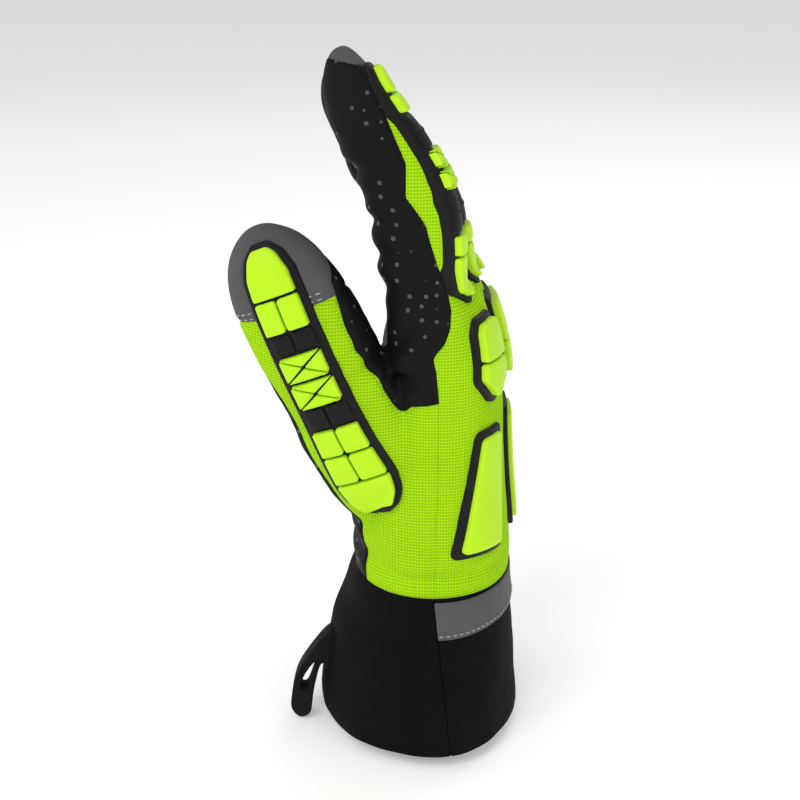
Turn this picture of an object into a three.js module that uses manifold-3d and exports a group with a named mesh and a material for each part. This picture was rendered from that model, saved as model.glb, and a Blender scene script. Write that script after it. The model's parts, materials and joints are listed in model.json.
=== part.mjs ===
// Impact glove for the right hand, in millimetres, +Z up from the cuff's mouth to the fingertips.
// +X is the back of the hand, -X the palm, -Y the thumb's side and +Y the little finger's side.
// Every panel is a hollow wall: a lofted outer form less a lofted inner form, cut along the seams.
import * as THREE from "three";
import { mergeVertices } from "three/addons/utils/BufferGeometryUtils.js";
import Module from "manifold-3d";

const wasm = await Module();
wasm.setup();

// Driving dimensions
const CUFF_HEIGHT = 58;
const CUFF_WIDE = 103;
const CUFF_DEEP = 74;
const CUFF_WALL = 3;
const HAND_HEIGHT = 116;
const HAND_WIDE = 96;
const HAND_DEEP = 58;
const FABRIC_WALL = 2;
const HAND_CENTRE_X = 5;
const SEAM_GAP = 0.3;
const SIDE_SEAM_X = 6;
const BAND_HEIGHT = 13.3;
const BAND_THICK = 0.9;
const FINGER_HALF_WIDE = 11.6;
const FINGER_HALF_DEEP = 13;
const GUARD_THICK = 1.6;
const PAD_RISE = 2.6;
const METACARPAL_PAD_RISE = 1.2;
const BORDER_WIDE = 2.2;
const GROOVE_WIDE = 0.9;
const FINGER_GUARD_WIDE = 18;
const THUMB_GUARD_WIDE = 21;
const THUMB_GUARD_LENGTH = 106;
const KNUCKLE_GUARD_WIDE = 21.5;
const KNUCKLE_GUARD_HEIGHT = 31;
const METACARPAL_GUARD_HEIGHT = 47;
const METACARPAL_GUARD_WIDE = 26;
const WEBBING_WIDE = 9;
const LOOP_LENGTH = 34;
const LOOP_REACH = 14;

const HAND_POINTS = 20;
const DIGIT_POINTS = 12;
const HAND_INNER_POINTS = 16;
const DIGIT_INNER_POINTS = 8;
const HAND_RINGS = [0, 0.05, 0.12, 0.3, 0.5, 0.7, 0.86, 0.95, 1];
const CUFF_RINGS = [0, 0.12, 0.3, 0.55, 0.8, 1];
const DIGIT_RINGS = [0, 0.18, 0.36, 0.5, 0.63, 0.76, 0.87, 0.95, 0.99];
const DIGIT_INNER_RINGS = [0, 0.27, 0.5, 0.7, 0.87, 0.97];
const DIGIT_SQUARE = 2.2;

// The four fingers. Base and tip are heights above the wrist line, x and y the place of the base,
// lean is how far the tip stands over the palm, splay how far it leans sideways, and even says how
// evenly the finger bends (0 bends near the tip, 1 is straight). Thin scales the back's depth.
const FINGERS = [
  { name: "index", base: 87, length: 108, x: 3.8, y: -36,
    lean: 30.3, splay: -2, even: 0, size: 1, thin: 1 },
  { name: "middle", base: 90, length: 97, x: 12.5, y: -12,
    lean: 42, splay: 0, even: 0.2, size: 1, thin: 0.82 },
  { name: "ring", base: 88, length: 92, x: 10.5, y: 12,
    lean: 38, splay: 1, even: 0.3, size: 0.98, thin: 0.8 },
  { name: "little", base: 84, length: 80, x: 6, y: 35,
    lean: 30, splay: 4, even: 0.3, size: 0.93, thin: 0.8 },
];

// One finger from base to tip. Up is a share of its length, lean of its lean, wide of the half
// width, back and palm of the half depth, and seam of the half depth, towards the back. Cut says
// whether the seam's cutter follows that row.
const FINGER_ROWS = [
  { up: 0, lean: 0, wide: 0.98, back: 0.98, palm: 1.12, seam: 0.2, cut: true },
  { up: 0.08, lean: 0.035, wide: 0.98, back: 0.95, palm: 1.14, seam: 0.45, cut: false },
  { up: 0.18, lean: 0.08, wide: 0.97, back: 0.9, palm: 0.97, seam: 0.75, cut: true },
  { up: 0.27, lean: 0.115, wide: 0.97, back: 0.88, palm: 1, seam: 0.63, cut: false },
  { up: 0.37, lean: 0.155, wide: 1, back: 0.98, palm: 1.07, seam: 0.44, cut: true },
  { up: 0.47, lean: 0.205, wide: 1.01, back: 1.02, palm: 1.08, seam: 0.3, cut: false },
  { up: 0.58, lean: 0.31, wide: 0.99, back: 0.97, palm: 1.08, seam: 0.02, cut: true },
  { up: 0.68, lean: 0.45, wide: 0.95, back: 0.8, palm: 1.05, seam: 0.33, cut: false },
  { up: 0.77, lean: 0.61, wide: 0.91, back: 0.63, palm: 1.12, seam: 0.46, cut: true },
  { up: 0.85, lean: 0.76, wide: 0.85, back: 0.52, palm: 1, seam: 0.45, cut: true },
  { up: 0.91, lean: 0.87, wide: 0.75, back: 0.48, palm: 0.84, seam: 0.36, cut: true },
  { up: 0.96, lean: 0.95, wide: 0.56, back: 0.34, palm: 0.54, seam: 0.24, cut: false },
  { up: 0.99, lean: 0.99, wide: 0.3, back: 0.2, palm: 0.28, seam: 0.12, cut: true },
  { up: 1, lean: 1, wide: 0.1, back: 0.07, palm: 0.09, seam: 0, cut: false },
];

// The thumb: base and length as heights, lean towards the palm and side towards the thumb's side.
// Turn is the angle by which its back faces the palm's side rather than straight out.
const THUMB = {
  base: 30,
  length: 105.5,
  x: -4,
  y: -20,
  lean: 52.5,
  side: -18,
  wide: 20,
  deep: 16.5,
  turn: 12,
};
const THUMB_ROWS = [
  { up: 0, lean: 0, side: 0, wide: 0.95, deep: 0.72, seamWide: -0.2, seamDeep: -0.4 },
  { up: 0.1, lean: 0.12, side: 0.22, wide: 1.02, deep: 0.82, seamWide: -0.2, seamDeep: -0.35 },
  { up: 0.19, lean: 0.22, side: 0.4, wide: 1.05, deep: 0.9, seamWide: -0.1, seamDeep: -0.2 },
  { up: 0.3, lean: 0.335, side: 0.57, wide: 1.04, deep: 0.96, seamWide: 0.4, seamDeep: 0.1 },
  { up: 0.42, lean: 0.43, side: 0.71, wide: 1.03, deep: 0.98, seamWide: 0.88, seamDeep: 0.5 },
  { up: 0.54, lean: 0.553, side: 0.83, wide: 1.0, deep: 0.95, seamWide: 0.86, seamDeep: 0.56 },
  { up: 0.66, lean: 0.672, side: 0.9, wide: 1.01, deep: 0.92, seamWide: 0.8, seamDeep: 0.64 },
  { up: 0.77, lean: 0.785, side: 0.94, wide: 0.97, deep: 0.86, seamWide: 0.86, seamDeep: 0.5 },
  { up: 0.87, lean: 0.882, side: 0.97, wide: 0.83, deep: 0.74, seamWide: 0.97, seamDeep: 0.2 },
  { up: 0.94, lean: 0.945, side: 0.99, wide: 0.61, deep: 0.55, seamWide: 1, seamDeep: -0.1 },
  { up: 0.985, lean: 0.985, side: 1, wide: 0.32, deep: 0.3, seamWide: 1, seamDeep: -0.3 },
  { up: 1, lean: 1, side: 1, wide: 0.1, deep: 0.1, seamWide: 1, seamDeep: -0.3 },
];
// Where the thumb's outer seam runs, as a share of its half depth. The columns seamWide and
// seamDeep above place the inner seam, beside the index finger.
const THUMB_OUTER_SEAM = -0.1;

// The hand from the wrist line to the webs. Up is a share of its height, back and palm of its
// depth, near (thumb's side) and far of its width, and square rounds or squares the section.
const HAND_ROWS = [
  { up: 0, back: 0.5, palm: 0.5, near: 0.427, far: 0.427, square: 2.1 },
  { up: 0.07, back: 0.507, palm: 0.5, near: 0.437, far: 0.44, square: 2.15 },
  { up: 0.19, back: 0.49, palm: 0.515, near: 0.453, far: 0.469, square: 2.2 },
  { up: 0.32, back: 0.466, palm: 0.51, near: 0.46, far: 0.5, square: 2.25 },
  { up: 0.474, back: 0.448, palm: 0.46, near: 0.47, far: 0.52, square: 2.3 },
  { up: 0.62, back: 0.437, palm: 0.37, near: 0.48, far: 0.522, square: 2.35 },
  { up: 0.75, back: 0.408, palm: 0.295, near: 0.492, far: 0.512, square: 2.4 },
  { up: 0.862, back: 0.345, palm: 0.262, near: 0.495, far: 0.495, square: 2.4 },
  { up: 0.93, back: 0.28, palm: 0.22, near: 0.482, far: 0.475, square: 2.4 },
  { up: 0.975, back: 0.21, palm: 0.15, near: 0.45, far: 0.44, square: 2.4 },
  { up: 1, back: 0.12, palm: 0.05, near: 0.38, far: 0.37, square: 2.4 },
];

// The cuff from its mouth to the wrist line, with the same columns and the centre's place in x.
const CUFF_ROWS = [
  { up: 0, back: 0.424, palm: 0.578, near: 0.5, far: 0.5, square: 1.98, centre: 6 },
  { up: 0.1, back: 0.424, palm: 0.588, near: 0.502, far: 0.502, square: 1.98, centre: 6 },
  { up: 0.22, back: 0.42, palm: 0.58, near: 0.5, far: 0.5, square: 2, centre: 6 },
  { up: 0.43, back: 0.415, palm: 0.552, near: 0.487, far: 0.487, square: 2, centre: 5.8 },
  { up: 0.66, back: 0.4, palm: 0.5, near: 0.46, far: 0.46, square: 2, centre: 5.5 },
  { up: 0.8, back: 0.393, palm: 0.46, near: 0.44, far: 0.44, square: 2.05, centre: 5.2 },
  { up: 0.93, back: 0.39, palm: 0.42, near: 0.42, far: 0.42, square: 2.1, centre: 5 },
  { up: 1, back: 0.389, palm: 0.395, near: 0.408, far: 0.408, square: 2.1, centre: 5 },
];

// The patch in the crotch of the thumb: x in millimetres and up as a share of the hand's height.
const CROTCH_PATCH = [
  [-7.1, 0.628],
  [6.2, 0.648],
  [6.2, 0.79],
  [-9.5, 0.79],
  [-12, 0.7],
];
// How far in from the thumb's side the patch reaches, as a share of the hand's width.
const CROTCH_FROM = 0.22;
const THUMB_PALM_FROM = 0.4;
const THUMB_CAP_FROM = 0.69;
const THUMB_CAP_LEAN = { x: -0.32, z: 0.95 };
const FINGER_CAP_FROM = 0.9;

// The side seams between back and palm: x beside SIDE_SEAM_X, up as a share of the cuff's height
// for the cuff and of the hand's height above it for the hand.
const CUFF_SEAM = [
  { x: 6, up: -0.08 },
  { x: 1.5, up: 0.6 },
  { x: -1, up: 1.02 },
];
const HAND_SEAM = [
  { x: 0, up: 0.35 },
  { x: 0, up: 0.66 },
  { x: -1.5, up: 0.79 },
  { x: 4, up: 0.88 },
  { x: 4, up: 1.05 },
];
// The leather palm's edge behind the thumb: y as a share of the hand's width, up of its height.
const PALM_EDGE = [
  { y: -0.22, up: -0.1 },
  { y: -0.24, up: 0.3 },
  { y: -0.27, up: 0.6 },
  { y: -0.27, up: 1.1 },
];
const PALM_EDGE_DEEP = 12;

// How far the cutters of the digits' seams reach, in shares of the half width and half depth.
const FINGER_CUTTER = { wide: 1.3, deep: 1.4, past: 12 };
const THUMB_CUTTER = { outer: 0.3, inner: 0.14, deep: 1.5, past: 12 };

// Guards on the fingers and thumb: a share of the length and of the half width, then the grooves.
const FINGER_GUARD_ROWS = [
  [0.2, 0.06],
  [0.245, 0.8],
  [0.32, 1],
  [0.6, 1],
  [0.8, 0.9],
  [0.9, 0.76],
  [0.945, 0.5],
];
const FINGER_GROOVES = [0.361, 0.43, 0.565, 0.63, 0.69, 0.796, 0.856];
const THUMB_GUARD_FOOT = { x: -9.5, up: 32.5 };
const THUMB_GUARD_RUN = { lean: 0.72, rise: 0.92 };
const THUMB_GUARD_ROWS = [
  [0, 0.35],
  [0.025, 0.8],
  [0.07, 1.08],
  [0.14, 1.16],
  [0.26, 1.08],
  [0.42, 1],
  [0.8, 0.95],
  [0.9, 0.9],
  [0.96, 0.68],
  [1, 0.28],
];
const THUMB_GROOVES = [0.152, 0.263, 0.364, 0.447, 0.543, 0.639, 0.712, 0.827];

// Guards on the hand: y in millimetres, azimuth the way they face round the hand. A knuckle guard
// ends a clearance below the foot of its finger's guard.
const KNUCKLE_CLEARANCE = 5;
const KNUCKLE_GUARDS = [
  { y: -26.5, azimuth: -20 },
  { y: -5, azimuth: -6 },
  { y: 16, azimuth: 8 },
  { y: 35.5, azimuth: 24 },
];
// A knuckle guard's outline: shares of its half width and of its height.
const KNUCKLE_OUTLINE = [
  [-0.2, 0],
  [0.2, 0],
  [1, 0.28],
  [1, 0.86],
  [0.7, 1],
  [-0.7, 1],
  [-1, 0.86],
  [-1, 0.28],
];
const KNUCKLE_GROOVE = 0.5;
const METACARPAL_GUARD_FROM = 0.138;
const METACARPAL_GUARDS = [
  { name: "index", y: -20, azimuth: -42, lowLeft: -0.52, lowRight: 0.42, highLeft: -0.22, highRight: 0.42 },
  { name: "middle", y: 0, azimuth: 0, lowLeft: -0.38, lowRight: 0.38, highLeft: -0.44, highRight: 0.44 },
  { name: "little", y: 22, azimuth: 38, lowLeft: -0.42, lowRight: 0.52, highLeft: -0.42, highRight: 0.22 },
];

// The pull loop from the side: out from the cuff as a share of its reach, and down from its upper
// end as a share of its length; then the hole in it. It is sewn to the palm side of the cuff.
const LOOP_TOP = { x: -34.4, y: -9, z: 30.5 };
const LOOP_OUTLINE = [
  [0.02, 0],
  [0.45, 0.22],
  [0.77, 0.43],
  [0.91, 0.6],
  [1, 0.82],
  [0.96, 0.93],
  [0.77, 1],
  [0.54, 0.95],
  [0.47, 0.76],
  [0.38, 0.56],
  [0.2, 0.34],
  [-0.2, 0.34],
  [-0.2, 0],
];
const LOOP_HOLE = [
  [0.3, 0.33],
  [0.42, 0.33],
  [0.7, 0.5],
  [0.8, 0.66],
  [0.56, 0.66],
];

// Dents and folds pushed into the hand and the cuff. At is a height over the mouth in shares of
// the cuff's height, turn an angle round the section from the back of the hand, depth a share of
// the fabric wall, and tall and round how far the dent spreads in millimetres and degrees.
const DENTS = [
  { at: 1.03, turn: -84, depth: 1.1, tall: 4.5, round: 9 },
  { at: 1.12, turn: -50, depth: 0.6, tall: 3, round: 30 },
  { at: 1.1, turn: -125, depth: 0.5, tall: 4, round: 22 },
  { at: 1.09, turn: 84, depth: 0.8, tall: 4.5, round: 12 },
  { at: 1.12, turn: 150, depth: 0.6, tall: 4, round: 40 },
  { at: 0.45, turn: -80, depth: 0.7, tall: 18, round: 8 },
  { at: 0.45, turn: 84, depth: 0.7, tall: 18, round: 8 },
  { at: 0.55, turn: -150, depth: 0.7, tall: 9, round: 24 },
];

// Colours and finishes
const KNIT = { color: 0xb4f01e, roughness: 0.85, metalness: 0 };
const LEATHER = { color: 0x1b1c1e, roughness: 0.6, metalness: 0 };
const NEOPRENE = { color: 0x141517, roughness: 0.75, metalness: 0 };
const RUBBER = { color: 0xa5e021, roughness: 0.55, metalness: 0 };
const GREY = { color: 0x6b6c70, roughness: 0.7, metalness: 0 };

// A value of a table's column at a share along it, on a smooth curve through the rows.
function smoothAt(rows, column, up) {
  const last = rows.length - 1;
  let i = 0;
  while (i < last - 1 && rows[i + 1].up < up) {
    i += 1;
  }
  const a = rows[i];
  const b = rows[i + 1];
  const before = rows[Math.max(i - 1, 0)];
  const after = rows[Math.min(i + 2, last)];
  const t = THREE.MathUtils.clamp((up - a.up) / (b.up - a.up), 0, 1);
  const span = b.up - a.up;
  const slopeA = (b[column] - before[column]) / Math.max(b.up - before.up, 1e-6);
  const slopeB = (after[column] - a[column]) / Math.max(after.up - a.up, 1e-6);
  const t2 = t * t;
  const t3 = t2 * t;
  return (
    (2 * t3 - 3 * t2 + 1) * a[column] +
    (t3 - 2 * t2 + t) * span * slopeA +
    (3 * t2 - 2 * t3) * b[column] +
    (t3 - t2) * span * slopeB
  );
}

// A superellipse's share along one axis at an angle: square 2 is round, more is squarer.
function bend(value, square) {
  return Math.sign(value) * Math.abs(value) ** (2 / square);
}

// A geometry as a solid that can be cut and joined.
function toSolid(geometry) {
  const bare = geometry.clone();
  bare.deleteAttribute("normal");
  bare.deleteAttribute("uv");
  const merged = mergeVertices(bare, 1e-4);
  const triVerts = new Uint32Array(merged.index.array);
  const vertProperties = new Float32Array(merged.attributes.position.array);
  return new wasm.Manifold(new wasm.Mesh({ numProp: 3, vertProperties, triVerts }));
}

// A closed solid through rings of points that run the same way round, from the first to the last.
function loft(rings) {
  const count = rings[0].length;
  const positions = [];
  const triangles = [];
  rings.forEach((ring) => ring.forEach((p) => positions.push(p.x, p.y, p.z)));
  for (let r = 0; r < rings.length - 1; r += 1) {
    for (let i = 0; i < count; i += 1) {
      const a = r * count + i;
      const b = r * count + ((i + 1) % count);
      triangles.push(a, b, b + count, a, b + count, a + count);
    }
  }
  const ends = [rings[0], rings[rings.length - 1]];
  ends.forEach((ring, end) => {
    const middle = ring.reduce((sum, p) => sum.add(p), new THREE.Vector3()).divideScalar(count);
    const centre = positions.length / 3;
    positions.push(middle.x, middle.y, middle.z);
    const first = end === 0 ? 0 : (rings.length - 1) * count;
    for (let i = 0; i < count; i += 1) {
      const a = first + i;
      const b = first + ((i + 1) % count);
      triangles.push(...(end === 0 ? [centre, b, a] : [centre, a, b]));
    }
  });
  const vertProperties = new Float32Array(positions);
  const triVerts = new Uint32Array(triangles);
  return new wasm.Manifold(new wasm.Mesh({ numProp: 3, vertProperties, triVerts }));
}

// How far the dents push a point of the hand or cuff inwards, at its height and angle.
function dentAt(height, turn) {
  return DENTS.reduce((sum, dent) => {
    const away = THREE.MathUtils.euclideanModulo(turn - dent.turn + 180, 360) - 180;
    const rise = (height - dent.at * CUFF_HEIGHT) / dent.tall;
    return sum + dent.depth * FABRIC_WALL * Math.exp(-(rise ** 2) - (away / dent.round) ** 2);
  }, 0);
}

// One level ring of the hand or the cuff, grown outwards by a distance.
function levelRing(section, height, grow, count) {
  return Array.from({ length: count }, (_, i) => {
    const angle = ((i + 0.5) / count) * 2 * Math.PI;
    const out = grow - dentAt(height, THREE.MathUtils.radToDeg(angle));
    const x = bend(Math.cos(angle), section.square);
    const y = bend(Math.sin(angle), section.square);
    const deep = Math.max((x > 0 ? section.back : section.palm) + out, 1);
    const wide = Math.max((y > 0 ? section.far : section.near) + out, 1);
    return new THREE.Vector3(section.centre + x * deep, y * wide, height);
  });
}

function sectionAt(rows, up, deep, wide, centre) {
  return {
    back: smoothAt(rows, "back", up) * deep,
    palm: smoothAt(rows, "palm", up) * deep,
    near: smoothAt(rows, "near", up) * wide,
    far: smoothAt(rows, "far", up) * wide,
    square: smoothAt(rows, "square", up),
    centre,
  };
}

// The hand's form, grown by a distance; an inner form stops short of the webs by its wall, and
// starts below the wrist line so that it cuts the end open.
function handForm(grow, inner = false) {
  const height = HAND_HEIGHT + (inner ? -FABRIC_WALL : 0);
  const rings = HAND_RINGS.map((up) => {
    const section = sectionAt(HAND_ROWS, up, HAND_DEEP, HAND_WIDE, HAND_CENTRE_X);
    return levelRing(section, CUFF_HEIGHT + up * height, grow, inner ? HAND_INNER_POINTS : HAND_POINTS);
  });
  if (inner) {
    const below = rings[0].map((p) => p.clone().setZ(CUFF_HEIGHT - 1));
    rings.unshift(below);
  }
  return loft(rings);
}

// The cuff's form, grown by a distance; one that runs through goes past both ends.
function cuffForm(grow, through = false, count = HAND_POINTS) {
  const top = CUFF_HEIGHT - SEAM_GAP;
  const rings = CUFF_RINGS.map((up) => {
    const centre = smoothAt(CUFF_ROWS, "centre", up);
    const section = sectionAt(CUFF_ROWS, up, CUFF_DEEP, CUFF_WIDE, centre);
    return levelRing(section, up * top, grow, count);
  });
  if (through) {
    rings.unshift(rings[0].map((p) => p.clone().setZ(-1)));
    rings.push(rings[rings.length - 1].map((p) => p.clone().setZ(top + 1)));
  }
  return loft(rings);
}

// A digit's path: its centre at a share of its length, and the section's axes there.
function fingerPath(finger) {
  const base = new THREE.Vector3(finger.x, finger.y, CUFF_HEIGHT + finger.base);
  const centre = (up) => {
    const curl = smoothAt(FINGER_ROWS, "lean", up);
    const lean = finger.lean * (finger.even * up + (1 - finger.even) * curl);
    return base.clone().add(new THREE.Vector3(-lean, finger.splay * up, finger.length * up));
  };
  return { centre, back: new THREE.Vector3(1, 0, 0) };
}

function thumbPath() {
  const base = new THREE.Vector3(THUMB.x, THUMB.y, CUFF_HEIGHT + THUMB.base);
  const centre = (up) => {
    const lean = THUMB.lean * smoothAt(THUMB_ROWS, "lean", up);
    const side = THUMB.side * smoothAt(THUMB_ROWS, "side", up);
    return base.clone().add(new THREE.Vector3(-lean, side, THUMB.length * up));
  };
  const turn = THREE.MathUtils.degToRad(THUMB.turn);
  return { centre, back: new THREE.Vector3(-Math.sin(turn), -Math.cos(turn), 0) };
}

// The axes of a digit's section: along it, across it and out of its back.
function axesAt(path, up) {
  const step = 0.02;
  const from = path.centre(Math.max(up - step, 0));
  const along = path.centre(Math.min(up + step, 1)).sub(from).normalize();
  const across = path.back.clone().cross(along).negate().normalize();
  const back = across.clone().cross(along).normalize();
  return { along, across, back };
}

function digitForm(path, sizeAt, grow, inner = false) {
  const reach = inner ? 1 - FABRIC_WALL / path.length : 1;
  const count = inner ? DIGIT_INNER_POINTS : DIGIT_POINTS;
  const rings = (inner ? DIGIT_INNER_RINGS : DIGIT_RINGS).map((share) => {
    const up = share * reach;
    const { across, back } = axesAt(path, up);
    const middle = path.centre(up);
    const size = sizeAt(share);
    return Array.from({ length: count }, (_, i) => {
      const angle = ((i + 0.5) / count) * 2 * Math.PI;
      const side = bend(Math.cos(angle), DIGIT_SQUARE) * Math.max(size.wide + grow, 0.6);
      const deep = Math.sin(angle) > 0 ? size.back : size.palm;
      const out = bend(Math.sin(angle), DIGIT_SQUARE) * Math.max(deep + grow, 0.6);
      return middle.clone().addScaledVector(across, -side).addScaledVector(back, out);
    });
  });
  return loft(rings);
}

const digits = FINGERS.map((finger) => {
  const path = fingerPath(finger);
  path.length = finger.length;
  const wide = FINGER_HALF_WIDE * finger.size;
  const deep = FINGER_HALF_DEEP * finger.size;
  const sizeAt = (up) => ({
    wide: wide * smoothAt(FINGER_ROWS, "wide", up),
    back: deep * finger.thin * smoothAt(FINGER_ROWS, "back", up),
    palm: deep * smoothAt(FINGER_ROWS, "palm", up),
  });
  return { finger, path, sizeAt, deep };
});

const thumb = { path: thumbPath() };
thumb.path.length = THUMB.length;
thumb.sizeAt = (up) => ({
  wide: THUMB.wide * smoothAt(THUMB_ROWS, "wide", up),
  back: THUMB.deep * smoothAt(THUMB_ROWS, "deep", up),
  palm: THUMB.deep * smoothAt(THUMB_ROWS, "deep", up),
});

const formOf = (digit, grow, inner) => digitForm(digit.path, digit.sizeAt, grow, inner);

// A prism of an outline drawn in millimetres, pushed out along a direction from an origin.
function prism(points, origin, across, up, from, to) {
  const shape = new THREE.Shape(points.map(([u, v]) => new THREE.Vector2(u, v)));
  const geometry = new THREE.ExtrudeGeometry(shape, { depth: to - from, bevelEnabled: false });
  const out = across.clone().cross(up).normalize();
  const matrix = new THREE.Matrix4().makeBasis(across, up, out);
  matrix.setPosition(origin.clone().addScaledVector(out, from));
  return toSolid(geometry.applyMatrix4(matrix));
}

// A polygon with every corner rounded by a radius, in a few steps.
function rounded(points, radius, steps = 1) {
  const result = [];
  points.forEach((point, i) => {
    const corner = new THREE.Vector2(...point);
    const before = new THREE.Vector2(...points[(i + points.length - 1) % points.length]);
    const after = new THREE.Vector2(...points[(i + 1) % points.length]);
    const reach = Math.min(radius, corner.distanceTo(before) * 0.45, corner.distanceTo(after) * 0.45);
    const start = corner.clone().add(before.sub(corner).setLength(reach));
    const end = corner.clone().add(after.sub(corner).setLength(reach));
    const arc = new THREE.QuadraticBezierCurve(start, corner, end);
    arc.getPoints(steps).forEach((p) => result.push([p.x, p.y]));
  });
  return result;
}

const AXIS_X = new THREE.Vector3(1, 0, 0);
const AXIS_Y = new THREE.Vector3(0, 1, 0);
const AXIS_Z = new THREE.Vector3(0, 0, 1);
const FAR = 150;

// The half of space on the back's side of the side seams, for the hand and the cuff, as a prism
// across the whole width.
function backHalf(shift) {
  const line = [
    ...CUFF_SEAM.map(({ x, up }) => [SIDE_SEAM_X + x + shift, CUFF_HEIGHT * up]),
    ...HAND_SEAM.map(({ x, up }) => [SIDE_SEAM_X + x + shift, CUFF_HEIGHT + HAND_HEIGHT * up]),
  ];
  const outline = [...line, [FAR, line[line.length - 1][1]], [FAR, line[0][1]]];
  return prism(outline, new THREE.Vector3(), AXIS_X, AXIS_Z, -FAR, FAR);
}

// The palm side of a finger, under the seam on both sides of it.
function fingerPalmHalf(digit, shift) {
  const rings = FINGER_ROWS.filter(({ cut }) => cut).map((row) => {
    const { across, back } = axesAt(digit.path, row.up);
    const middle = digit.path.centre(row.up);
    const seam = row.seam * digit.deep + shift;
    const corner = (side, out) => middle.clone().addScaledVector(across, -side).addScaledVector(back, out);
    const side = FINGER_CUTTER.wide * FINGER_HALF_WIDE;
    const low = -FINGER_CUTTER.deep * FINGER_HALF_DEEP;
    return [corner(side, seam), corner(-side, seam), corner(-side, low), corner(side, low)];
  });
  const past = rings[rings.length - 1].map((p) => p.clone().addScaledVector(AXIS_Z, FINGER_CUTTER.past));
  return loft([...rings, past]);
}

// The thumb's leather side, under the chord between its outer and inner seams.
function thumbPalmHalf(shift) {
  const rings = THUMB_ROWS.map((row) => {
    const { across, back } = axesAt(thumb.path, row.up);
    const middle = thumb.path.centre(row.up);
    const wide = THUMB.wide * row.wide;
    const deep = THUMB.deep * row.deep;
    const outer = new THREE.Vector2(-wide, THUMB_OUTER_SEAM * deep);
    const inner = new THREE.Vector2(row.seamWide * wide, row.seamDeep * deep);
    const chord = inner.clone().sub(outer).setLength(1);
    const normal = new THREE.Vector2(-chord.y, chord.x);
    const reach = THUMB_CUTTER.inner * Math.max(row.seamWide, 0);
    outer.addScaledVector(normal, shift).addScaledVector(chord, -THUMB.wide * THUMB_CUTTER.outer);
    inner.addScaledVector(normal, shift).addScaledVector(chord, THUMB.wide * reach);
    const corner = (u, v) => middle.clone().addScaledVector(across, u).addScaledVector(back, v);
    const low = -THUMB_CUTTER.deep * THUMB.deep;
    return [corner(outer.x, outer.y), corner(inner.x, inner.y), corner(inner.x, low), corner(outer.x, low)];
  });
  const past = rings[rings.length - 1].map((p) => p.clone().addScaledVector(AXIS_Z, THUMB_CUTTER.past));
  return loft([...rings, past]);
}

const mesh = (name, solid, finish) => {
  const made = solid.getMesh();
  const geometry = new THREE.BufferGeometry();
  geometry.setAttribute("position", new THREE.BufferAttribute(made.vertProperties.slice(), 3));
  geometry.setIndex(new THREE.BufferAttribute(made.triVerts.slice(), 1));
  geometry.computeVertexNormals();
  const result = new THREE.Mesh(geometry, new THREE.MeshStandardMaterial(finish));
  result.name = name;
  return result;
};

// The largest body of a solid that a cut has left in pieces.
function largest(solid) {
  return solid.decompose().sort((a, b) => b.volume() - a.volume())[0];
}

// The space beyond a plane, as a large box on the side that the direction points to.
function beyond(point, direction) {
  const box = new THREE.BoxGeometry(2 * FAR, 2 * FAR, 2 * FAR);
  box.translate(0, 0, FAR);
  const turn = new THREE.Quaternion().setFromUnitVectors(AXIS_Z, direction.clone().normalize());
  box.applyQuaternion(turn);
  box.translate(point.x, point.y, point.z);
  return toSolid(box);
}

// The hand's palm side behind the thumb, as a prism along x that starts at the palm's thumb edge.
function handPalmHalf(shift) {
  const line = PALM_EDGE.map(({ y, up }) => [y * HAND_WIDE + shift, CUFF_HEIGHT + up * HAND_HEIGHT]);
  const outline = [[FAR, line[0][1]], [FAR, line[line.length - 1][1]], ...[...line].reverse()];
  return prism(outline, new THREE.Vector3(), AXIS_Y, AXIS_Z, -FAR, SIDE_SEAM_X + PALM_EDGE_DEEP);
}

// The leather patch in the crotch of the thumb, as a prism from the thumb's side.
function crotchPrism(grow) {
  const outline = CROTCH_PATCH.map(([x, up]) => [x, CUFF_HEIGHT + up * HAND_HEIGHT]);
  const middle = outline.reduce((sum, p) => sum.add(new THREE.Vector2(...p)), new THREE.Vector2());
  middle.divideScalar(outline.length);
  const grown = outline.map(([x, z]) => [
    x + Math.sign(x - middle.x) * grow,
    z + Math.sign(z - middle.y) * grow,
  ]);
  return prism(grown, new THREE.Vector3(), AXIS_X, AXIS_Z, HAND_WIDE * CROTCH_FROM, FAR);
}

// A guard: a thin base that follows the form under it, with raised pads parted by grooves.
// The form is a function of how far it is grown. Outlines are in the place's own axes.
function guard({ form, place, outline, padOutline, grooves, rise }) {
  const { origin, across, up } = place;
  const whole = (points) => prism(points, origin, across, up, 0, FAR);
  const seat = form(SEAM_GAP);
  const base = whole(outline).intersect(form(SEAM_GAP + GUARD_THICK)).subtract(seat);
  let pads = whole(padOutline);
  grooves.forEach((groove) => {
    pads = pads.subtract(whole(groove));
  });
  const root = form(SEAM_GAP + GUARD_THICK / 2);
  pads = pads.intersect(form(SEAM_GAP + GUARD_THICK + rise)).subtract(root);
  return largest(base.add(pads));
}

// A strip outline from rows of height and half width, pointed or blunt at its lower end.
function strip(rows, inset) {
  const right = rows.map(([v, half]) => [Math.max(half - inset, 0.4), v]);
  const left = rows.map(([v, half]) => [-Math.max(half - inset, 0.4), v]).reverse();
  const points = [...right, ...left];
  const low = Math.min(...rows.map(([v]) => v)) + inset;
  const high = Math.max(...rows.map(([v]) => v)) - inset;
  return points.map(([u, v]) => [u, THREE.MathUtils.clamp(v, low, high)]);
}

// A groove straight across a strip at a height.
function crossGroove(v, half = 30) {
  const w = GROOVE_WIDE / 2;
  return [
    [-half, v - w],
    [half, v - w],
    [half, v + w],
    [-half, v + w],
  ];
}

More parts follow.
